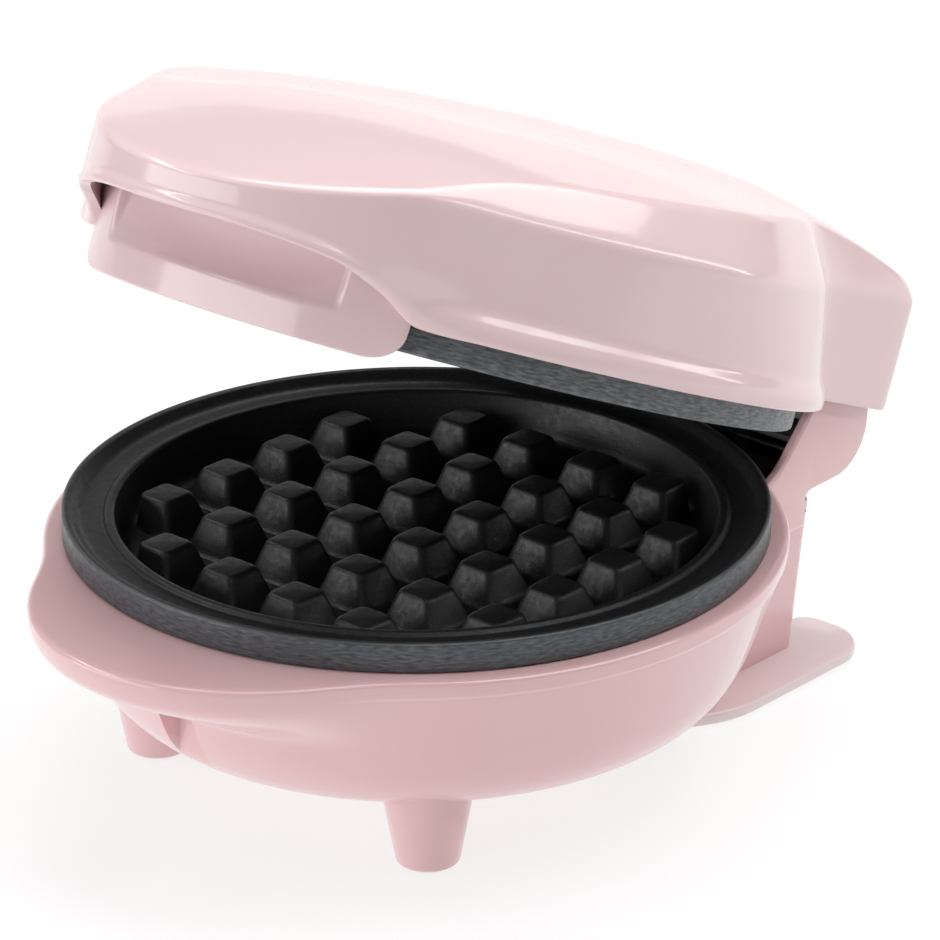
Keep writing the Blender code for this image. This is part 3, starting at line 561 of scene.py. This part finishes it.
PINK = glossy_plastic("pink_gloss", (0.79, 0.515, 0.525), (0.775, 0.495, 0.508))
# Painted light: the lid and its panel use a paler, less saturated copy of the base pink, standing in for the top
# light and glare on the lid.
PINK_LID_PAINTED_LIGHT = glossy_plastic("pink_gloss_lid_painted_light", (0.80, 0.605, 0.615), (0.79, 0.59, 0.602), coat=0.25)
# Painted light: the panel takes the paler lid pink, and its finger pocket is painted lighter still.
PINK_PANEL_PAINTED_LIGHT = glossy_plastic("pink_gloss_panel_painted_light", (0.80, 0.605, 0.615), (0.79, 0.59, 0.602),
                            coat=0.25, pocket_painted_light=(0.95, 0.78, 0.80))
# Painted light: a paler, less saturated copy of the pink for the stand's foot plate, standing in for the light on
# its up-facing top; the post of the same stand keeps the plain pink.
PINK_STAND_PAINTED_LIGHT = glossy_plastic("pink_gloss_stand_painted_light", (0.79, 0.655, 0.66), (0.775, 0.635, 0.642))
PINK_COVER = glossy_plastic("pink_satin", (0.76, 0.49, 0.50), (0.74, 0.47, 0.485), 0.38, 0.5, 0.0)
COATED = coated_plate("coated_lower_plate", "base", (0.036, 0.042, 0.049), (0.125, 0.14, 0.152))
COATED_UPPER = coated_plate("coated_upper_plate", "lid", (0.075, 0.083, 0.09), (0.22, 0.235, 0.245))
STEEL = plain_metal("zinc_steel", (0.40, 0.41, 0.42), (0.62, 0.63, 0.64), 0.25, 0.42)
HEATER_STEEL = plain_metal("heater_tube", (0.10, 0.11, 0.10), (0.24, 0.25, 0.23), 0.35, 0.55,
                           (1, 1, 1))
REFLECTOR = plain_metal("reflector_sheet", (0.62, 0.63, 0.64), (0.80, 0.80, 0.81), 0.16, 0.3,
                        (0.08, 1, 1))
BLACK = grained("black_satin", (0.010, 0.010, 0.011), (0.018, 0.018, 0.019), 0.42)
RUBBER = grained("rubber", (0.030, 0.030, 0.031), (0.050, 0.050, 0.051), 0.75, 900)
CERAMIC = grained("fired_ceramic", (0.66, 0.64, 0.58), (0.78, 0.76, 0.71), 0.6, 1400)
SLEEVE = grained("braided_sleeve", (0.60, 0.58, 0.52), (0.72, 0.70, 0.64), 0.7, 2600, 0.00015)


# ---------------------------------------------------------------- base

def bowl_radius(height):
    """Radius of the bowl's outside at a height."""
    return smooth_line([(z, r) for r, z in BOWL_SIDE], height)


def bowl_height(radius):
    """Height of the bowl's outside at a radius."""
    return smooth_line([(r, z) for r, z in BOWL_SIDE], radius)


def base_radius(angle, height):
    """Radius of the base at an angle and height: bowl, tongue, rim band and front notch."""
    tongue = circle_reach(angle, TONGUE_CENTRE, TONGUE_RADIUS)
    reach = blend_outlines(BOWL_RADIUS, tongue) - BOWL_RADIUS
    share = smooth_step((height - TONGUE_ROOT_Z) / (TONGUE_SIDE_Z - TONGUE_ROOT_Z))
    band = smooth_step((height - RIM_BAND_Z + 0.3) / 0.6) * (1 - smooth_step(reach / 4))
    radius = bowl_radius(height) + reach * share + RIM_BAND_DEPTH * band
    turn = abs(math.remainder(angle, 2 * math.pi))
    inside = smooth_step((NOTCH_HALF_ANGLE - turn) / math.radians(0.3) + 0.5)
    inside *= smooth_step((NOTCH_TOP_Z - height) / 0.5 + 0.5)
    floor = min(radius, NOTCH_DEPTH_Y / max(math.cos(angle), 0.5))
    return radius + (floor - radius) * inside


def bowl():
    """Bowl with the tongue: outer side, rounded rim, inner side and floor."""
    angles = spread((3.3, 1.1), (4.5, 0.12), (28, 1), (50, 0.5), (180, 1))
    columns = []
    for angle in angles:
        outer = [(base_radius(angle, z), z) for z in BOWL_LEVELS]
        foot_edge = min(47.6, outer[0][0])
        rim = base_radius(angle, BOWL_TOP_Z)
        line = [(radius, BOWL_BOTTOM_Z) for radius in (COVER_OPENING, 44, foot_edge)]
        line += outer + [(rim, BOWL_TOP_Z), (RIM_INSIDE_RADIUS, BOWL_TOP_Z)]
        line += [*BOWL_INSIDE, (COVER_OPENING, BOWL_BOTTOM_Z + WALL)]
        radii = [0, 1] + [0] * len(outer) + [1.6, 0.5] + [0] * len(BOWL_INSIDE)
        columns.append(rounded(line, radii))
    return skin(rows_of(angles, columns), loop=True)


def hinge_ear(side):
    """Upright ear that carries a hinge pin."""
    outline = [(50, HINGE_FLOOR_Z), (50, 40.4), (52.6, 41.4), (55, 42.6), (57.4, 44.6)]
    outline += arc((HINGE_Y, HINGE_Z), EAR_TOP_RADIUS, 118, 28, 16)
    outline += arc((71, 46), 9.6, 0, -80, 12)
    foot_line = [(71.5, 36.5), (LEDGE_STEP_Y, 36.3), (LEDGE_STEP_Y, HINGE_FLOOR_Z)]
    outline += rounded(foot_line, (1.8,), 6)[1:]
    low, high = sorted((side * EAR_INNER, side * EAR_OUTER))
    return slab(outline, 0, low, high, 0.7)


def hinge_floor():
    """Ledge behind the bowl that carries the hinge, between the ears."""
    half = POST_HALF_WIDTH * (1 + POST_FLARE)
    corners = [(LEDGE_HALF_WIDTH, LEDGE_FRONT_Y, 1), (LEDGE_HALF_WIDTH, LEDGE_STEP_Y, 1)]
    corners += [(half, LEDGE_STEP_Y, 1), (half, POST_REAR_Y, POST_CORNER)]
    left = [(-x, y, radius) for x, y, radius in reversed(corners)]
    outline = rounded_outline(left[-1:] + corners + left[:-1])
    return slab(outline, 2, HINGE_FLOOR_Z, HINGE_FLOOR_Z + WALL, 0.5)


def foot(x):
    """Tapered foot whose top follows the bowl."""
    facets = 96
    centre = Vector((x, FOOT_Y, 0))
    line = [(4.3, PAD_TOP_Z), (FOOT_LOW_RADIUS, PAD_TOP_Z)]
    line.append((FOOT_LOW_RADIUS + FOOT_TAPER, FOOT_HEIGHT))
    profile = rounded(line, (0.9,), 6)
    rings = [[(x, FOOT_Y, PAD_TOP_Z)]]
    rings += [circle(centre, radius, height, facets) for radius, height in profile[:-1]]
    top = []
    for step, spot in enumerate(circle(centre, 7.6, 0, facets)):
        height = bowl_height(max(math.hypot(spot.x, spot.y), BOWL_SIDE[0][0])) + 0.5
        radius = FOOT_LOW_RADIUS + FOOT_TAPER * height / FOOT_HEIGHT
        top.append(centre + polar(2 * math.pi * step / facets, radius, height))
    rings.append(top)
    rings.append([(x, FOOT_Y, 13.4)])
    return skin(rings)


def pad(x, y):
    """Round rubber pad under a foot."""
    line = [(0, 0), (3.9, 0), (3.9, 1.4), (0, 1.4)]
    return turned(rounded(line, (0.5, 0.2), 4), 64, (x, y))


def foot_plate():
    """Flat foot plate behind the bowl."""
    corner = 9
    side_line = arc((STAND_HALF_WIDTH - corner, 73), corner, 0, 90, 14)
    side_line += arc((24.7, 77.8), 4.2, 90, 180, 8) + arc((18.5, 76), 2, 0, -90, 6)
    outline = side_line + [(-x, y) for x, y in reversed(side_line)]
    steps = 48
    for step in range(steps + 1):
        angle = math.pi * step / steps
        y = STAND_MIDDLE_Y - STAND_FRONT_REACH * math.sin(angle)
        outline.append((-STAND_HALF_WIDTH * math.cos(angle), y))
    return slab(outline, 2, STAND_LOW_Z, STAND_HIGH_Z, 0.6, 4)


def hinge_post():
    """Hollow post between the foot plate and the hinge ledge, open towards the bowl."""
    heights = (2.3, 4, 8, 11.7, 13, 14.5, 16.6, 20, 25, 29.7)
    rings = []
    for height in heights:
        front = 40.0
        if height > BOWL_BOTTOM_Z:
            front = math.sqrt((bowl_radius(height) + 0.15) ** 2 - POST_HALF_WIDTH ** 2)
        half = POST_HALF_WIDTH * (1 + POST_FLARE * height / HINGE_FLOOR_Z)
        rear = POST_REAR_Y - POST_CORNER
        outer = [(-half, front)]
        outer += arc((-half + POST_CORNER, rear), POST_CORNER, 180, 90, 8)
        outer += arc((half - POST_CORNER, rear), POST_CORNER, 90, 0, 8)
        outer.append((half, front))
        inside = half - POST_WALL
        rear_inside = POST_REAR_Y - POST_WALL
        inner = [(inside, front), (inside, rear_inside), (-inside, rear_inside), (-inside, front)]
        rings.append([Vector((x, y, height)) for x, y in outer + inner])
    return skin(rings, caps=True)


def cord_gland():
    """Ribbed strain relief that points to the rear."""
    line = [(0, -6.5), (5.6, -6.5), (5.6, -2.7), (4.0, -2.7), (4.0, 0.3), (5.8, 0.3), (5.8, 2.2)]
    line.append((4.7, 3.0))
    for rib in range(5):
        low = 3.0 + 2.3 * rib
        radius = 4.7 - 0.3 * rib
        line += [(radius, low + 1.5), (radius - 0.8, low + 1.6)]
        line += [(radius - 0.8, low + 2.2), (radius - 0.3, low + 2.3)]
    line += [(2.9, 15.4), (1.9, 15.4), (1.9, 6), (0, 6)]
    mesh_data = turned(rounded(line, [0.3] * (len(line) - 2), 3), 72)
    turn = Vector((0, 1, 0)).to_track_quat("Z", "Y").to_matrix().to_4x4()
    mesh_data.transform(Matrix.Translation(Vector((0, POST_REAR_Y, INLET_Z)) * MM) @ turn)
    return mesh_data


def underside_cover():
    """Round cover with three shallow rings pressed into it."""
    groove_z = COVER_LOW_Z + 0.5
    line = [(0, COVER_HIGH_Z), (COVER_RADIUS, COVER_HIGH_Z), (COVER_RADIUS, COVER_LOW_Z)]
    radii = [0.2, 0.8]
    for radius in (32, 20, 12):
        line += [(radius, COVER_LOW_Z), (radius - 0.5, groove_z)]
        line += [(radius - 1.3, groove_z), (radius - 1.8, COVER_LOW_Z)]
        radii += [0.2] * 4
    line.append((0, COVER_LOW_Z))
    return turned(rounded(line, radii, 3), 144)


def screw(x, y, z):
    """Pan-head screw that points up, with a cross recess in its head."""
    recess_depth = 0.8
    recess_reach = 1.6
    line = [(0, -1.0), (0.7, -2.0), (1.6, -2.0), (2.6, -0.9), (2.6, 0), (1.3, 0), (1.3, 6), (0, 7)]
    mesh_data = turned(rounded(line, (0.2, 0.3, 0.5, 0.2, 0.1, 0.1), 3), 48)
    for vertex in mesh_data.verts:
        reach = math.hypot(vertex.co.x, vertex.co.y) / MM
        if vertex.co.z < -0.95 * MM and 0.2 < reach < 1.5:
            arm = abs(math.cos(2 * math.atan2(vertex.co.y, vertex.co.x)))
            vertex.co.z += recess_depth * MM * arm ** 6 * (1 - reach / recess_reach)
    mesh_data.transform(Matrix.Translation(Vector((x, y, z)) * MM))
    return mesh_data


def hinge_guard():
    """Black guard between the plate and the hinge: a lip, a block behind it and two cheeks."""
    lip_z = 41.4
    top = [(GUARD_REAR_Y, GUARD_TOP_Z, 0.8), (GUARD_FRONT_Y, GUARD_TOP_Z, 0.8)]
    lip = rounded_outline([(GUARD_FRONT_Y, lip_z, 0.5), (GUARD_REAR_Y, lip_z, 0.3)] + top)
    foot_corners = [(GUARD_FRONT_Y, GUARD_FOOT_Z, 0.3), (GUARD_REAR_Y, GUARD_FOOT_Z, 0.3)]
    cheek = rounded_outline(foot_corners + top)
    block_front = [(-11.5, 63.4, 0.5), (11.5, 63.4, 0.5)]
    block = rounded_outline(block_front + [(11.5, 69, 1.5), (-11.5, 69, 1.5)])
    parts = [slab(lip, 0, -GUARD_HALF_WIDTH, GUARD_HALF_WIDTH, 0.6)]
    parts.append(slab(block, 2, GUARD_FOOT_Z, 43, 0.6))
    for side in (1, -1):
        low, high = sorted((side * 23, side * 32.6))
        parts.append(slab(cheek, 0, low, high, 0.4))
    return join(*parts)


# ---------------------------------------------------------------- plates

def stud(x, y, floor, top):
    """One four-sided tapered stud with rounded edges, cut back at the rim of the food area."""
    rise = 1 if top > floor else -1
    levels = [(STUD_BASE + 1.4, -0.15), (STUD_BASE + 0.5, 0.1), (STUD_BASE - 0.2, 0.5)]
    levels.append((STUD_BASE - 0.75, 1))
    levels += [(STUD_TOP + 0.95, STUD_HEIGHT - 0.9), (STUD_TOP + 0.5, STUD_HEIGHT - 0.4)]
    levels += [(STUD_TOP - 0.1, STUD_HEIGHT - 0.08), (STUD_TOP - 0.9, STUD_HEIGHT)]
    rings = [[(x, y, floor - 0.5 * rise)]]
    for width, height in levels:
        half = width / 2
        limit = FOOD_RADIUS - 0.12 * height
        square = [(-half, -half), (half, -half), (half, half), (-half, half)]
        ring = []
        for point in rounded_outline([(*corner, STUD_CORNER) for corner in square], 3):
            spot = Vector((x + point[0], y + point[1]))
            if spot.length > limit:
                spot *= limit / spot.length
            ring.append((spot.x, spot.y, floor + rise * height))
        rings.append(ring)
    last = [Vector(point).xy for point in rings[-1]]
    rings.append([(*(last[0] + last[len(last) // 2]) / 2, top)])
    return skin(rings)


def baking_plate(upper):
    """Round plate: outer wall, rim, run-off channel, step, food area and studs."""
    line = [(0, PLATE_BACK_Z), (51, PLATE_BACK_Z), (55, PLATE_FOOT_Z), (PLATE_RADIUS, PLATE_FOOT_Z)]
    line += [(PLATE_RADIUS, PLATE_TOP_Z), (58.7, PLATE_TOP_Z), (56.8, CHANNEL_Z), (53.1, CHANNEL_Z)]
    line += [(52.6, 44.85), (51.2, 44.85), (49.6, 38.4), (48.4, FOOD_FLOOR_Z), (0, FOOD_FLOOR_Z)]
    radii = (1, 1, 0.4, 0.55, 0.5, 1.0, 0.35, 0.4, 0.7, 1.2, 1.2)
    profile = rounded(line, radii)
    floor = FOOD_FLOOR_Z
    rise = STUD_HEIGHT
    if upper:
        profile = [(r, 2 * PLATE_SPLIT_Z - z) for r, z in profile]
        floor = 2 * PLATE_SPLIT_Z - floor
        rise = -STUD_HEIGHT
    parts = [turned([tuple(point) for point in profile], 240)]
    places = [STUD_PITCH * (index + 0.5) for index in range(-3, 3)]
    for x in places:
        for y in places:
            if math.hypot(x, y) < LAST_STUD_RADIUS:
                parts.append(stud(x, y, floor, floor + rise))
    return join(*parts)


# ---------------------------------------------------------------- lid

def top_height(y):
    """Height of the lid's top edge at a place along Y."""
    return smooth_line(LID_TOP_LINE, y)


def lid_reach(angle, height):
    """Radius of the lid's wall; the visor grows out of the round body above the skirt."""
    visor = circle_reach(angle, VISOR_CENTRE, VISOR_RADIUS)
    full = blend_outlines(LID_RADIUS, visor, block_reach(angle))
    if math.cos(angle) <= 0:
        return full
    return LID_RADIUS + (full - LID_RADIUS) * smooth_step((height - SKIRT_Z + 1) / 9)


def lid_section(angle):
    """Lines of (radius, height) at an angle: foot, bead, wall, shoulder and top outside, and
    the same way back inside."""
    turn = math.degrees(abs(math.remainder(angle, 2 * math.pi)))
    side = smooth_step((turn - 24) / 14)
    bead = (0.6 + 0.8 * side) * smooth_step((140.4 - turn) / 12)
    face = 1.1 + 1.5 * side
    slope = 1.1 + 1.5 * side
    low = smooth_line(LID_LOWER_LINE, turn)
    reach = lid_reach(angle, PANEL_TOP_Z)
    crease = top_height(-reach * math.cos(angle))
    shoulder = min(crease - 0.8, WALL_TOP_Z)
    lean = WALL_LEAN * smooth_step((turn - 80) / 29) * smooth_step((146 - turn) / 12)
    inset = 0.8 + 5 * min(1, max(0, (crease - WALL_TOP_Z) / 7))
    rim = reach - inset - lean

    def top(share, drop=0.0):
        radius = rim * share
        return radius, top_height(-radius * math.cos(angle)) + TOP_CROWN * (1 - share ** 2) - drop

    foot_z = low + face + slope

    def wall(height):
        return lid_reach(angle, height) - lean * max(0.0, (height - foot_z) / (shoulder - foot_z))

    line = [(lid_reach(angle, low) - WALL + bead, low), (lid_reach(angle, low) + bead, low)]
    line += [(lid_reach(angle, low + face) + bead, low + face), (lid_reach(angle, foot_z), foot_z)]
    walls = 7
    for step in range(1, walls):
        height = foot_z + (shoulder - foot_z) * step / walls
        line.append((wall(height), height))
    line += [(wall(shoulder), shoulder), top(1)]
    shares = (0.96, 0.9, 0.82, 0.72, 0.6, 0.46, 0.3, 0.14)
    line += [top(share) for share in shares]
    radii = [0.8, 1.2, 0.9] + [0] * (walls - 1) + [2.6, 1.7] + [0] * (len(shares) - 1)
    outer = rounded(line, radii, 6)
    inner = [top(share * 0.96, WALL) for share in (0.25, 0.6, 0.95)]
    inner.append((wall(shoulder) - WALL - 0.2, shoulder - 1.5))
    inner.append((lid_reach(angle, foot_z) - WALL - 0.2, foot_z))
    return outer, inner


def lid_shell():
    """Outer lid in one skin: the outer and the inner top each close in a middle point."""
    angles = spread((20, 2), (44, 0.6), (134, 2), (149, 0.75), (161, 0.4), (180, 1.5))
    sections = [lid_section(angle) for angle in angles]
    outer = rows_of(angles, [section[0] for section in sections])
    outer.append([Vector((0, 0, top_height(0) + TOP_CROWN))])
    inner = [[Vector((0, 0, top_height(0) + TOP_CROWN - WALL))]]
    inner += rows_of(angles, [section[1] for section in sections])
    mesh_data = join(skin(outer), skin(inner), skin([inner[-1], outer[0]]))
    bmesh.ops.remove_doubles(mesh_data, verts=mesh_data.verts, dist=0.00001)
    return mesh_data


def handle_panel():
    """Front panel under the visor, with the finger pocket."""
    def radius_at(angle, height):
        edge = smooth_step((POCKET_END - abs(angle)) / math.radians(1.3))
        ramp = max(0.0, height - POCKET_BOTTOM_Z) / 9
        ramp = min(ramp, 1.0) * smooth_step((height - POCKET_BOTTOM_Z) / 1.2)
        flattening = 0.59 * PANEL_RADIUS * (1 - math.cos(angle))
        rise = smooth_step((height - PANEL_BOTTOM_Z - 1.5) / 4)
        tuck = (PANEL_LEAN * (1 - rise) + PANEL_TUCK * rise) * (abs(angle) / PANEL_END) ** 6
        return PANEL_RADIUS - edge * ramp * (POCKET_DEPTH - flattening) - tuck

    def section(angle, shrink):
        corner = min(1.0, max(0.0, (abs(angle) / PANEL_END - 0.82) / 0.18))
        bottom = PANEL_BOTTOM_Z + 5 * (1 - math.sqrt(1 - corner ** 2)) + shrink
        rows = 40
        heights = [PANEL_TOP_Z - (PANEL_TOP_Z - bottom) * row / rows for row in range(rows + 1)]
        wall = (WALL - (abs(angle) / PANEL_END) ** 4) - shrink
        outer = [(radius_at(angle, z) - shrink, z) for z in heights]
        inner = [(radius_at(angle, z) - wall, z) for z in heights[::-4]]
        radii = [0] * (rows - 1) + [0.7, 0.4] + [0] * (len(inner) - 2)
        return [polar(angle, *point) for point in rounded(outer + inner, radii, 4)]

    end = math.degrees(PANEL_END)
    half = [end * step / 30 for step in range(20)]
    half += [21.5 + 0.2 * step for step in range(16)] + [25 + 0.5 * step for step in range(17)]
    right = [(angle, 0) for angle in half] + [(end - 0.3, 0), (end - 0.1, 0.15), (end, 0.45)]
    left = [(-angle, shrink) for angle, shrink in reversed(right[1:])]
    return skin([section(math.radians(angle), shrink) for angle, shrink in left + right], caps=True)


# ---------------------------------------------------------------- build

def build_base():
    """Pieces of the base body."""
    add_piece("base_bowl", bowl(), PINK, "base", "base_shell")
    add_piece("hinge_ledge", hinge_floor(), PINK, "base", "base_shell")
    add_piece("base_foot_plate", foot_plate(), PINK_STAND_PAINTED_LIGHT, "base", "rear_stand")
    add_piece("base_hinge_post", hinge_post(), PINK, "base", "rear_stand")
    for side, word in ((1, "right"), (-1, "left")):
        add_piece("hinge_ear_" + word, hinge_ear(side), PINK, "base", "base_shell")
        front_foot = foot(side * FOOT_X)
        add_piece("foot_" + word, front_foot, PINK, "base", "front_foot_" + word)
        front = pad(side * FOOT_X, FOOT_Y)
        rear = pad(side * REAR_PAD_X, REAR_PAD_Y)
        add_piece("foot_pad_" + word, front, RUBBER, "base", "front_pad_" + word)
        add_piece("plate_pad_" + word, rear, RUBBER, "base", "rear_pad_" + word)
    cover = underside_cover()
    add_piece("underside_cover", cover, PINK_COVER, "base", "base_cover")
    for number, angle in enumerate((60, 180, 300)):
        spot = polar(math.radians(angle), COVER_SCREW_RADIUS, COVER_SCREW_Z)
        name = "cover_screw_%d" % (number + 1)
        add_piece("fine_" + name, screw(*spot), STEEL, "base", name)
    add_piece("cord_strain_relief", cord_gland(), BLACK, "base", "cord_gland")
    add_piece("hinge_gap_guard", hinge_guard(), BLACK, "base", "hinge_guard")
    plate = baking_plate(False)
    add_piece("lower_baking_plate", plate, COATED, "base", "lower_plate")


def build_lid():
    """Pieces of the lid body."""
    add_piece("lid_cover", lid_shell(), PINK_LID_PAINTED_LIGHT, "lid", "lid_shell")
    add_piece("finger_panel", handle_panel(), PINK_PANEL_PAINTED_LIGHT, "lid", "handle_panel", 50)
    plate = baking_plate(True)
    add_piece("upper_baking_plate", plate, COATED_UPPER, "lid", "upper_plate")


def dress_frame():
    """Give the CAD nodes that stay their materials."""
    looks = {
        "steel": STEEL, "reflector_aluminium": REFLECTOR, "black_plastic": BLACK,
        "ceramic": CERAMIC, "silicone_sleeve": SLEEVE, "pink_plastic": PINK,
        "pink_cover_plastic": PINK_COVER, "non_stick_aluminium": COATED, "rubber": RUBBER,
    }
    slots = {part["node"]: part["material_slot"] for part in frame["record"]["subparts"]}
    for name, node in frame["nodes"].items():
        material = HEATER_STEEL if name.endswith("heating_element") else looks[slots[name]]
        node.data.materials.clear()
        node.data.materials.append(material)


# ---------------------------------------------------------------- stage

def add_floor():
    """Large plain pale floor."""
    size = 4.0
    mesh_data = bmesh.new()
    corners = ((-size, -size), (size, -size), (size, size), (-size, size))
    mesh_data.faces.new([mesh_data.verts.new((x, y, FLOOR_Z * MM)) for x, y in corners])
    mesh = bpy.data.meshes.new("floor")
    mesh_data.to_mesh(mesh)
    mesh_data.free()
    recipe = Recipe("pale_floor", roughness=0.9)
    cloud = recipe.span(recipe.noise(3, 2), 0.3, 0.7)
    colour = recipe.mix(cloud, (0.21, 0.21, 0.21), (0.23, 0.23, 0.23))
    recipe.shader.inputs["Emission Color"].default_value = (1, 1, 1, 1)
    recipe.shader.inputs["Emission Strength"].default_value = FLOOR_GLOW
    mesh.materials.append(recipe.wire(Base_Color=colour))
    floor = bpy.data.objects.new("floor", mesh)
    bpy.context.scene.collection.objects.link(floor)


def heading(turn, rise):
    """Direction from the object at an azimuth, from the front towards +X, and an elevation."""
    level = math.cos(rise)
    return Vector((math.sin(turn) * level, -math.cos(turn) * level, math.sin(rise)))


def add_light(name, azimuth, elevation, distance, power, size, roll=0):
    """Soft rectangular lamp that points at the middle of the object."""
    lamp = bpy.data.lights.new(name, "AREA")
    lamp.shape = "RECTANGLE"
    lamp.size, lamp.size_y = size
    lamp.energy = power
    light = bpy.data.objects.new(name, lamp)
    bpy.context.scene.collection.objects.link(light)
    back = heading(math.radians(azimuth), math.radians(elevation))
    light.location = Vector((0, PLATE_AXIS_Y, LIGHT_AIM_Z * MM)) + back * distance
    aim = back.to_track_quat("Z", "Y").to_matrix() @ Matrix.Rotation(math.radians(roll), 3, "Z")
    light.rotation_euler = aim.to_euler()


def add_lights():
    """Dim even surroundings, a large lamp overhead, two narrow lamps for the glints along the
    lid, a fill from the front and a low card behind that the lid's top mirrors."""
    world = bpy.data.worlds.new("studio")
    world.use_nodes = True
    background = world.node_tree.nodes["Background"]
    background.inputs["Strength"].default_value = WORLD_STRENGTH
    nodes = world.node_tree.nodes
    parts = nodes.new("ShaderNodeSeparateXYZ")
    world.node_tree.links.new(nodes.new("ShaderNodeTexCoord").outputs["Generated"], parts.inputs[0])
    rise = nodes.new("ShaderNodeMapRange")
    rise.inputs["To Min"].default_value = 0.6
    rise.inputs["To Max"].default_value = 1.2
    world.node_tree.links.new(parts.outputs["Z"], rise.inputs["Value"])
    world.node_tree.links.new(rise.outputs[0], background.inputs["Color"])
    bpy.context.scene.world = world
    add_light("overhead", 180, 72, 1.5, 25, (1.6, 1.2))
    add_light("right_strip", 117, 38, 1.3, 4.6, (2.4, 0.08), -42)
    add_light("left_strip", -68, 47, 1.4, 3, (1.2, 0.1))
    add_light("front_fill", -30, 10, 1.5, 10, (1.4, 0.7))
    add_light("back_card", 221, 7.5, 1.5, 2.3, (2.6, 0.4))


def add_camera():
    """Camera at the front right, a little above the object."""
    right = Vector((math.cos(CAMERA_AZIMUTH), math.sin(CAMERA_AZIMUTH), 0))
    aim = Vector((0, PLATE_AXIS_Y, CAMERA_AIM_Z * MM)) + right * CAMERA_AIM_RIGHT * MM
    data = bpy.data.cameras.new("camera")
    data.lens = CAMERA_LENS
    data.clip_start = 0.05
    camera = bpy.data.objects.new("camera", data)
    camera.location = aim + heading(CAMERA_AZIMUTH, CAMERA_ELEVATION) * CAMERA_DISTANCE
    camera.rotation_euler = (math.pi / 2 - CAMERA_ELEVATION, 0, CAMERA_AZIMUTH)
    bpy.context.scene.collection.objects.link(camera)
    bpy.context.scene.camera = camera


dress_frame()
build_base()
build_lid()
add_floor()
add_lights()
add_camera()
bpy.context.scene.view_settings.view_transform = "Standard"
